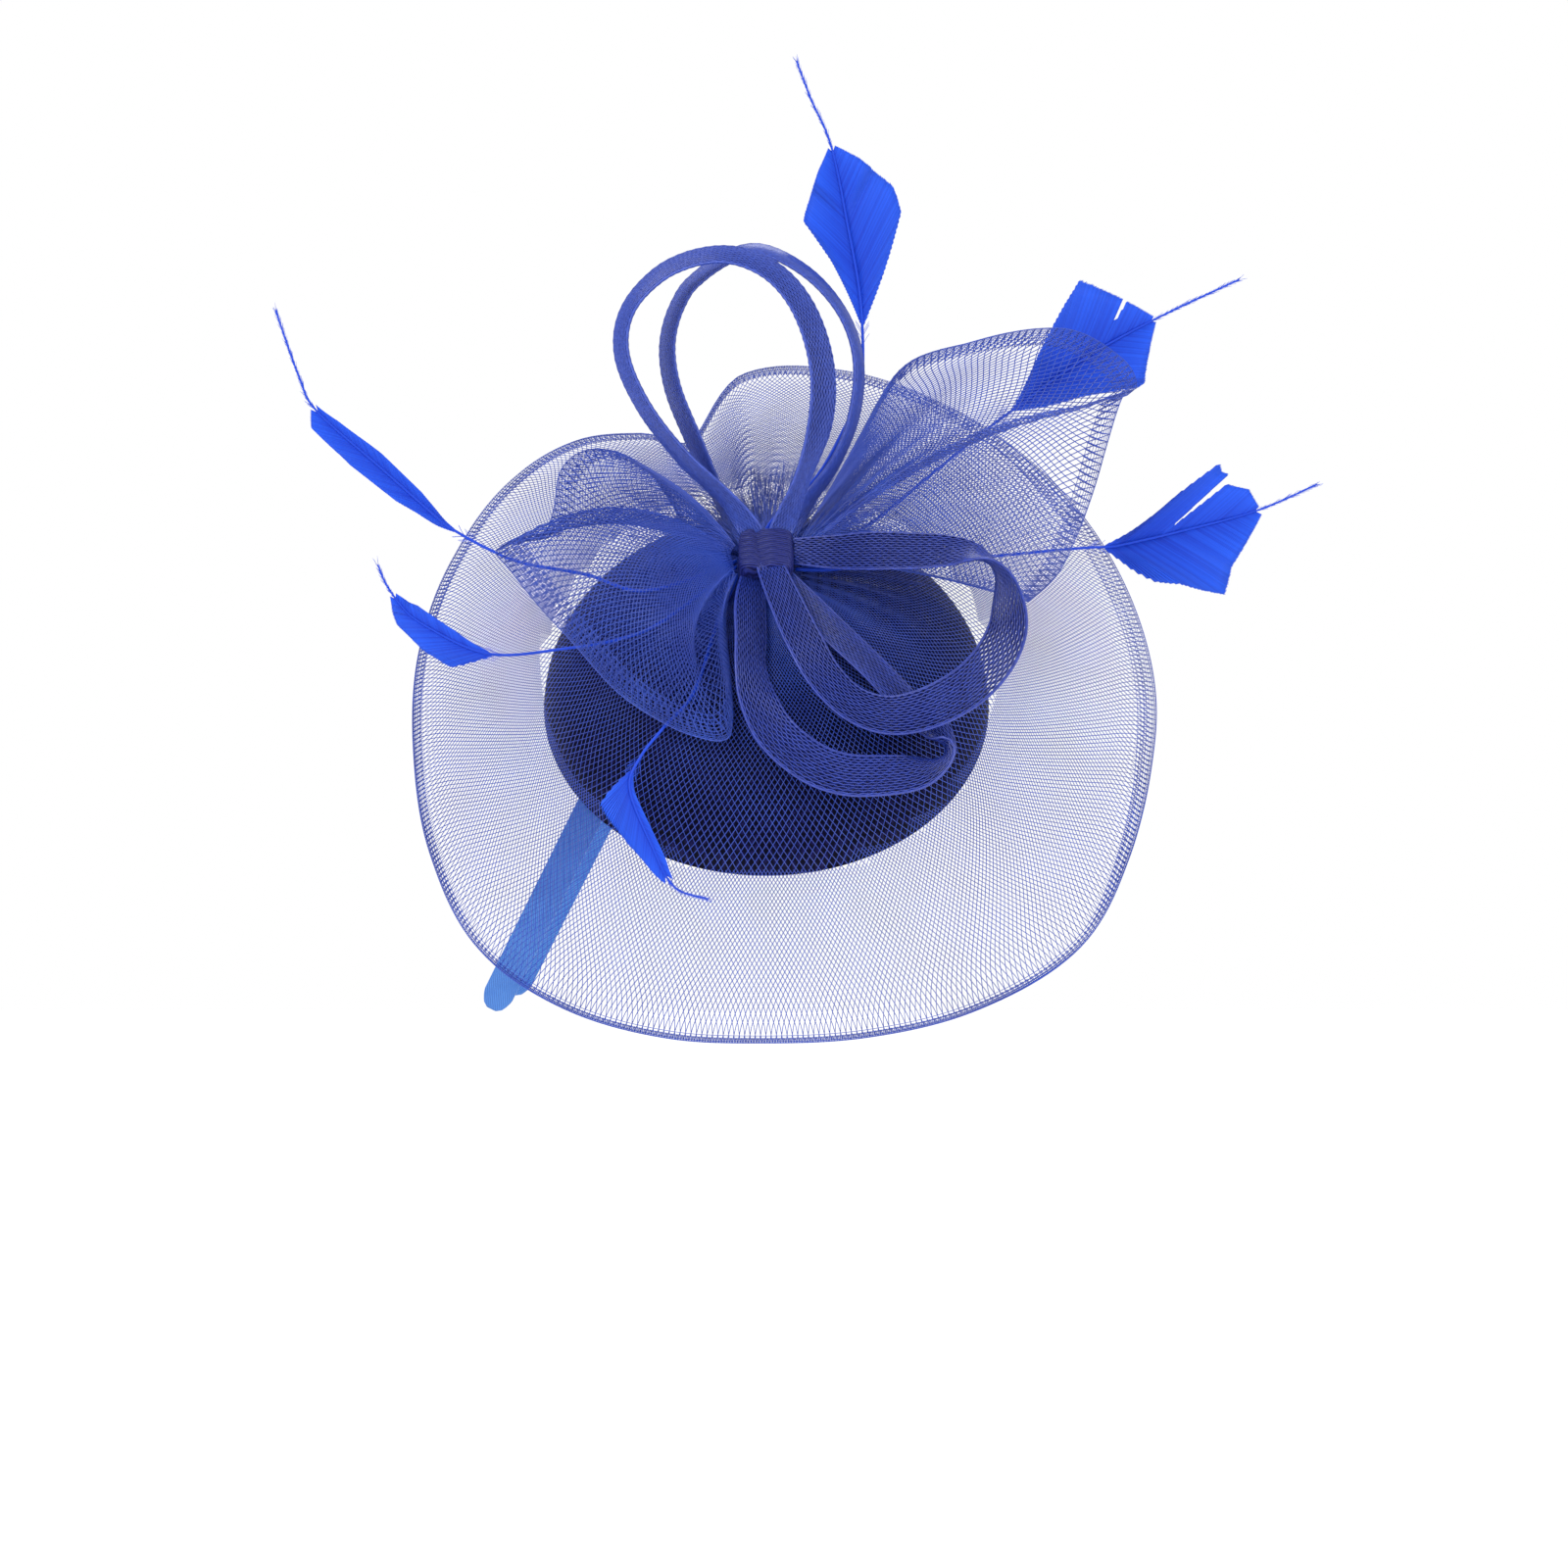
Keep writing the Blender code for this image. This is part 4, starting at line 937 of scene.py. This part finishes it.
def make_neck():
    """The stitched stalk from the knot down through the net to the crown."""
    foot = dome(KNOT_PLACE - NECK_RADIUS) + SEAT_GAP
    top = float(over_net(np.array([0, 0, KNOT_LIFT]))[2])
    rings, uv = [], []
    for height in np.linspace(foot, top, NECK_SECTIONS):
        ring = []
        for point in range(NECK_POINTS):
            turn = 2 * math.pi * point / NECK_POINTS
            radius = NECK_RADIUS * (1 - 0.05 + 0.05 * math.cos(turn * 10))
            ring.append((radius * math.cos(turn), KNOT_PLACE + radius * math.sin(turn), height))
            uv.append((height, point / NECK_POINTS * NECK_RADIUS * 6))
        rings.append(ring)
    return swept("knot_neck", rings, knot_finish, uv)


knot = make_knot()
neck = make_neck()
print("knot triangles and surface:", size_of(knot))

# %% [markdown]
# A trimmed feather is a bare quill with its barbs left on for a short stretch and cut to a shape.
# Every barb is a thin strip that leaves the quill at a slant and bends forward. The barbs' ends
# draw the cut outline, and a step in the table leaves a slit. Past the vane short stubs are left.

# %% The feathers' tables
FEATHERS = {
    "feather_top": {"length": 0.165, "root": "top", "barb_angle": (35, 35), "route": (
        (0.002, 0.0425, 0.0585), (0.008, 0.08, 0.07), (0.1, 0.2, 0.1), (0.16, 0.31, 0.16),
        (0.19, 0.38, 0.2), (0.19, 0.52, 0.31), (0.165, 0.65, 0.42), (0.13, 0.78, 0.53),
        (0.09, 0.84, 0.6), (0.06, 0.89, 0.66),
    ), "vane": (
        (0.49, 0, 0), (0.56, 0.08, 0.18), (0.59, 0.15, 0.18), (0.61, 0.14, 0.175),
        (0.74, 0.065, 0.08), (0.82, 0.01, 0.012), (1, 0.008, 0.008),
    )},
    "feather_upper_right": {"length": 0.18, "root": "right", "barb_angle": (35, 35), "route": (
        (0.052, 0.022, 0.023), (0.11, 0.06, 0.024), (0.19, 0.13, 0.03), (0.32, 0.29, 0.055),
        (0.46, 0.42, 0.12), (0.59, 0.5, 0.18), (0.73, 0.56, 0.235), (0.88, 0.61, 0.29),
    ), "vane": (
        (0.54, 0, 0), (0.6, 0.17, 0.187), (0.615, 0.21, 0.18), (0.73, 0.111, 0.105),
        (0.79, 0.05, 0.055), (0.83, 0.01, 0.01), (1, 0.006, 0.006),
    )},
    "feather_right": {"length": 0.185, "root": "right", "barb_angle": (28, 45), "route": (
        (0.051, -0.01, 0.022), (0.11, -0.002, 0.018), (0.2, 0.03, 0.018), (0.39, 0.1, 0.022),
        (0.58, 0.17, 0.035), (0.73, 0.2, 0.06), (0.88, 0.23, 0.09), (0.99, 0.26, 0.13),
    ), "vane": (
        (0.6, 0, 0), (0.62, 0.09, 0.1), (0.645, 0.22, 0.15), (0.67, 0.19, 0.178), (0.7, 0.17, 0.15),
        (0.71, 0.015, 0.14), (0.73, 0.13, 0.12), (0.8, 0.09, 0.07), (0.88, 0.01, 0.012),
        (1, 0.006, 0.006),
    )},
    "feather_left_upper": {"length": 0.19, "root": "left", "barb_angle": (24, 24), "route": (
        (-0.05, 0.012, 0.022), (-0.1, -0.01, 0.014), (-0.21, -0.03, 0.012), (-0.31, 0.04, 0.018),
        (-0.42, 0.09, 0.035), (-0.48, 0.12, 0.06), (-0.55, 0.16, 0.1), (-0.67, 0.23, 0.18),
        (-0.78, 0.29, 0.26), (-0.81, 0.33, 0.3), (-0.85, 0.41, 0.38),
    ), "vane": (
        (0.52, 0, 0), (0.58, 0.06, 0.035), (0.66, 0.075, 0.045), (0.76, 0.06, 0.03),
        (0.82, 0.012, 0.012), (1, 0.004, 0.004),
    )},
    "feather_left_lower": {"length": 0.14, "root": "left", "barb_angle": (30, 40), "route": (
        (-0.068, -0.006, 0.03), (-0.14, -0.07, 0.02), (-0.25, -0.16, 0.018), (-0.34, -0.19, 0.03),
        (-0.46, -0.19, 0.06), (-0.64, -0.18, 0.12), (-0.79, -0.13, 0.23), (-0.87, -0.07, 0.29),
        (-0.9, -0.02, 0.32),
    ), "vane": (
        (0.64, 0, 0), (0.655, 0.09, 0.01), (0.72, 0.09, 0.035), (0.82, 0.06, 0.045),
        (0.91, 0.012, 0.01), (1, 0.005, 0.005),
    )},
    "feather_bottom": {"length": 0.12, "root": "left", "barb_angle": (30, 30), "route": (
        (-0.076, -0.036, 0.034), (-0.13, -0.2, 0.022), (-0.19, -0.42, 0.022), (-0.27, -0.52, 0.042),
        (-0.33, -0.6, 0.08), (-0.36, -0.69, 0.11), (-0.3, -0.84, 0.13), (-0.24, -0.94, 0.14),
        (-0.15, -0.97, 0.14),
    ), "vane": (
        (0.6, 0, 0), (0.62, 0.02, 0.11), (0.7, 0.03, 0.1), (0.82, 0.035, 0.05), (0.88, 0.02, 0.02),
        (1, 0.01, 0.01),
    )},
}

# %% Feathers
# One vane's seen cut, with a slit that is finer than its solid
FINE_CUTS = {
    "feather_upper_right": (
        (0.54, 0, 0), (0.6, 0.17, 0.187), (0.615, 0.205, 0.182), (0.73, 0.1, 0.089),
        (0.732, 0.055, 0.088), (0.74, 0.055, 0.081), (0.742, 0.089, 0.079), (0.83, 0.009, 0.008),
        (0.84, 0, 0),
    ),
}
STEM_RADIUS = 0.0007
FEATHER_STEP = 0.002
BARB_SPACING = 0.00055
BARB_OVERLAP = 1.4
BARB_THICK = 0.00012
BARB_STEPS = 6
STUB_SPACING = 0.00045
STUB_LENGTH = 0.0028
STUB_WIDTHS = (0.00045, 0.0003)
WISPS = 12
QUILL_SIDES = 8
FEATHER_SEED = 11

feather_finish, feather_nodes, feather_shader = principled(
    "dyed_feather", 0.45, Specular_IOR_Level=0.25, Sheen_Weight=0.05
)
FEATHER_SHADES = ((0.004, 0.036, 0.520), (0.014, 0.110, 0.860))
along_barb = feather_nodes.nodes.new("ShaderNodeTexCoord")
split = feather_nodes.nodes.new("ShaderNodeSeparateXYZ")
feather_nodes.links.new(along_barb.outputs["UV"], split.inputs["Vector"])
shade_place = combine(
    feather_nodes, "ADD",
    combine(feather_nodes, "MULTIPLY", split.outputs["X"], 0.55),
    combine(feather_nodes, "MULTIPLY", split.outputs["Y"], 0.45),
)
shaded(feather_nodes, feather_shader, shade_place, *FEATHER_SHADES)


class Strips:
    """Many thin closed strips gathered into one mesh."""

    def __init__(self):
        self.points, self.faces, self.uv = [], [], []

    def add(self, rings, shade):
        """A four-sided strip through rings of four points each, with one shade for the whole."""
        first, last = len(self.points), len(rings) - 1
        self.points += [tuple(point) for ring in rings for point in ring]
        self.uv += [(index / last, shade) for index in range(last + 1) for _ in range(4)]
        self.faces += tube_faces(last + 1, 4, first)
        self.faces.append((first + 3, first + 2, first + 1, first))
        end = first + last * 4
        self.faces.append((end, end + 1, end + 2, end + 3))


def barb(spot, reach, way, out, width, tip_width, bend, droop):
    """Rings of one barb: it heads along reach, bends towards the tip and droops a little."""
    rings = []
    length = reach.length
    for step in range(BARB_STEPS + 1):
        share = step / BARB_STEPS
        middle = spot + reach * share
        middle = middle + way * (bend * length * math.sin(math.pi * share))
        middle = middle - out * (droop * length * share**2)
        half = way * ((width + (tip_width - width) * share) / 2)
        thin = out * (BARB_THICK / 2 * (1 - 0.5 * share))
        rings.append([middle - half, middle - thin, middle + half, middle + thin])
    return rings


def make_feather(name, plan):
    """The barbs, stubs and wisps of one feather in one mesh, and its quill in another."""
    length = plan["length"]
    points, _, run = route_points(plan["route"], length, FEATHER_STEP)
    axes = frames(points, plan["root"])
    slopes = [math.radians(angle) for angle in plan["barb_angle"]]
    dice = np.random.default_rng(FEATHER_SEED + len(name))
    last = len(points) - 1
    strips = Strips()

    def at(share):
        """The spot at a share of the quill, with its three axes."""
        place = min(share * last, last - 1e-6)
        low = int(place)
        part = place - low
        spot = points[low].lerp(points[low + 1], part)
        return (spot, *[axes[low][i].lerp(axes[low + 1][i], part).normalized() for i in range(3)])

    cuts = np.array(FINE_CUTS.get(name, plan["vane"])).T
    vane_from, vane_to = cuts[0][0], cuts[0][-2]
    count = int((vane_to - vane_from) * run / BARB_SPACING)
    spread = [vane_from + (vane_to - vane_from) * number / count for number in range(count + 1)]
    places = [at(share) for share in spread]
    for number, (spot, way, side, out) in enumerate(places):
        shares = [float(np.interp(spread[number], cuts[0], cut)) for cut in cuts[1:]]
        _, next_way, next_side, _ = places[min(number + 1, count)]
        for sign, share, slope in ((-1, shares[0], slopes[0]), (1, shares[1], slopes[1])):
            barb_length = share * length
            if barb_length < 0.0008:
                continue
            head = way * math.cos(slope) + side * (sign * math.sin(slope))
            fanned = next_way * math.cos(slope) + next_side * (sign * math.sin(slope)) - head
            width = BARB_SPACING * BARB_OVERLAP
            tip_width = width + fanned.length * barb_length / math.sin(slope) * BARB_OVERLAP
            root = spot + side * (sign * STEM_RADIUS * 0.4)
            reach = head * barb_length * (1 + dice.uniform(-0.006, 0.006))
            rings = barb(root, reach, way, out, width, tip_width, 0.012, 0.04)
            strips.add(rings, float(dice.uniform(0.1, 1.0)))
    stub_count = int((1 - vane_to) * run / STUB_SPACING)
    for number in range(stub_count):
        place = vane_to + (1 - vane_to) * number / stub_count
        spot, way, side, out = at(place)
        for sign in (-1, 1):
            slope = math.radians(dice.uniform(9, 19))
            stub = STUB_LENGTH * dice.uniform(0.5, 1.2)
            reach = (way * math.cos(slope) + side * (sign * math.sin(slope))) * stub
            rings = barb(spot, reach, way, out, *STUB_WIDTHS, 0.0, 0.0)
            strips.add(rings, float(dice.uniform(0, 0.3)))
    for number in range(WISPS):
        place = vane_from - 0.04 * dice.uniform(0, 1)
        spot, way, side, out = at(place)
        sign = -1 if number % 2 else 1
        reach = (way * 0.85 + side * (sign * 0.5)) * STUB_LENGTH * 1.6
        strips.add(barb(spot, reach, way, out, 0.0003, 0.0002, 0.05, 0.0), 0.4)
    vane = solid(name + "_barbs", strips.points, strips.faces, feather_finish, strips.uv)

    rings = []
    turns = [2 * math.pi * corner / QUILL_SIDES for corner in range(QUILL_SIDES)]
    for index, (spot, (way, side, out)) in enumerate(zip(points, axes)):
        radius = STEM_RADIUS * (1 - 0.62 * index / last)
        rings.append([spot + side * (radius * math.cos(t)) + out * (radius * math.sin(t)) for t in turns])
    quill = swept(name + "_quill", rings, feather_finish, [(0.3, 0.3)] * (QUILL_SIDES * len(points)))
    print(name, "length in mm:", round(run * 1000), size_of(vane))
    return vane, quill


feathers = {name: make_feather(name, plan) for name, plan in FEATHERS.items()}

# %% [markdown]
# The headband is a springy strip wound with satin ribbon. It lies in one leaning plane, and its
# middle and highest point there are read from the solid. The winding's slanting laps are cut into
# its sections.

# %% Headband
BAND_LEAN = math.radians(26.7)
BAND_OFFSET = -0.0353
BAND_WIDTH = 0.010
BAND_WALL = 0.002
BAND_RADIUS = 0.084
BAND_PAST_HALF = math.radians(12)
BAND_LIMB = 0.070
LAP_PITCH = 0.013
LAP_RISE = 0.00035
BAND_STEP = 0.0011
BAND_POINTS = 32
BAND_TIP = 0.005
BAND_UP = Vector((math.sin(BAND_LEAN), 0, math.cos(BAND_LEAN)))
BAND_ACROSS = Vector((math.cos(BAND_LEAN), 0, -math.sin(BAND_LEAN)))
BAND_AWAY = Vector((0, 1, 0))

band_spots = [vertex.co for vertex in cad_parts["headband"].data.vertices]
away = [spot.dot(BAND_AWAY) for spot in band_spots]
band_middle = (min(away) + max(away)) / 2
band_centre = max(spot.dot(BAND_UP) for spot in band_spots) - BAND_RADIUS
print("band's centre, away and up in mm:", round(band_middle * 1000, 1), round(band_centre * 1000, 1))

band_finish, band_nodes, band_shader = principled(
    "band_satin", 0.32, Specular_IOR_Level=0.35, Anisotropic=0.4
)
BAND_SHADES = ((0.045, 0.150, 0.500), (0.100, 0.320, 0.780))
band_thread = ribbed(band_nodes, (0, 0, math.radians(60)), 0.0007, "UV")
band_weave = combine(band_nodes, "MULTIPLY", band_thread, cloudy(band_nodes, 80))
shaded(band_nodes, band_shader, band_weave, *BAND_SHADES)
bumpy(band_nodes, band_shader, band_thread, 0.0001, 0.6)


def band_route():
    """Places along the band as (turn, limb), from one tip over the top to the other."""
    limb_steps = int(BAND_LIMB / BAND_STEP)
    arc = math.pi + 2 * BAND_PAST_HALF
    arc_steps = int(arc * BAND_RADIUS / BAND_STEP)
    first = [(-BAND_PAST_HALF, BAND_LIMB * (1 - step / limb_steps)) for step in range(limb_steps)]
    over = [(-BAND_PAST_HALF + arc * step / arc_steps, 0.0) for step in range(arc_steps + 1)]
    last = [(math.pi + BAND_PAST_HALF, limb) for _, limb in reversed(first)]
    return first + over + last


def from_world(point):
    """A world point in the crown's own axes."""
    across, away, up = point
    return (across, away * TILT_COS + up * TILT_SIN, -away * TILT_SIN + up * TILT_COS)


def make_band():
    """The wound strip: rounded sections whose faces rise and fall with the slanting laps."""
    rings, uv = [], []
    route = band_route()
    for index, (turn, limb) in enumerate(route):
        spoke = BAND_AWAY * math.cos(turn) + BAND_UP * math.sin(turn)
        onward = BAND_AWAY * math.sin(turn) - BAND_UP * math.cos(turn)
        if turn > math.pi / 2:
            onward = -onward
        middle = BAND_ACROSS * BAND_OFFSET + BAND_AWAY * band_middle + BAND_UP * band_centre
        middle = middle + onward * limb + spoke * (BAND_RADIUS - BAND_WALL / 2)
        end = min(index, len(route) - 1 - index) * BAND_STEP
        tip = min(1, 0.35 + 0.65 * math.sqrt(min(end / BAND_TIP, 1)))
        ring = []
        for point in range(BAND_POINTS):
            wide, face = rounded(2 * math.pi * point / BAND_POINTS, 0.35)
            wide *= tip
            slant = wide * BAND_WIDTH * 0.45 * (1 if face > 0 else -1)
            lap = -LAP_RISE * ((index * BAND_STEP + slant) / LAP_PITCH % 1.0)
            across = BAND_ACROSS * (wide * BAND_WIDTH / 2)
            ring.append(from_world(middle + across + spoke * (face * (BAND_WALL / 2 + lap))))
            uv.append((index * BAND_STEP, wide * BAND_WIDTH / 2))
        rings.append(ring)
    return swept("headband_wound", rings, band_finish, uv)


band = make_band()
print("headband triangles and surface:", size_of(band))

# %% [markdown]
# Every piece says what it rides on and which solid it stands for. Nothing on this hat moves by
# itself, so all of it rides on one body.

# %% Put the pieces on the body
def place(piece, slot, *nodes):
    """A piece on the body, with the solids that it stands for hidden; slot is not used."""
    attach(piece, "root")
    if nodes:
        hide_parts(*nodes)


place(veil, "blue_net", "veil")
place(veil_hem, "blue_net")
place(gathers, "blue_net")
place(crown, "navy_net", "base")
place(knot, "knot_satin", "knot")
place(neck, "knot_satin")
place(band, "band_satin", "headband")
for name, (net, hem, edge_length, reach_length) in ruffles.items():
    place(net, "blue_net", name)
    place(hem, "blue_net")
for name, (braid, cords) in loops.items():
    place(braid, "satin_ribbon", name)
    place(cords, "satin_ribbon")
for name, (vane, quill) in feathers.items():
    place(vane, "feather_blue", name)
    place(quill, "feather_blue")

# %% Update the scene
bpy.context.view_layer.update()
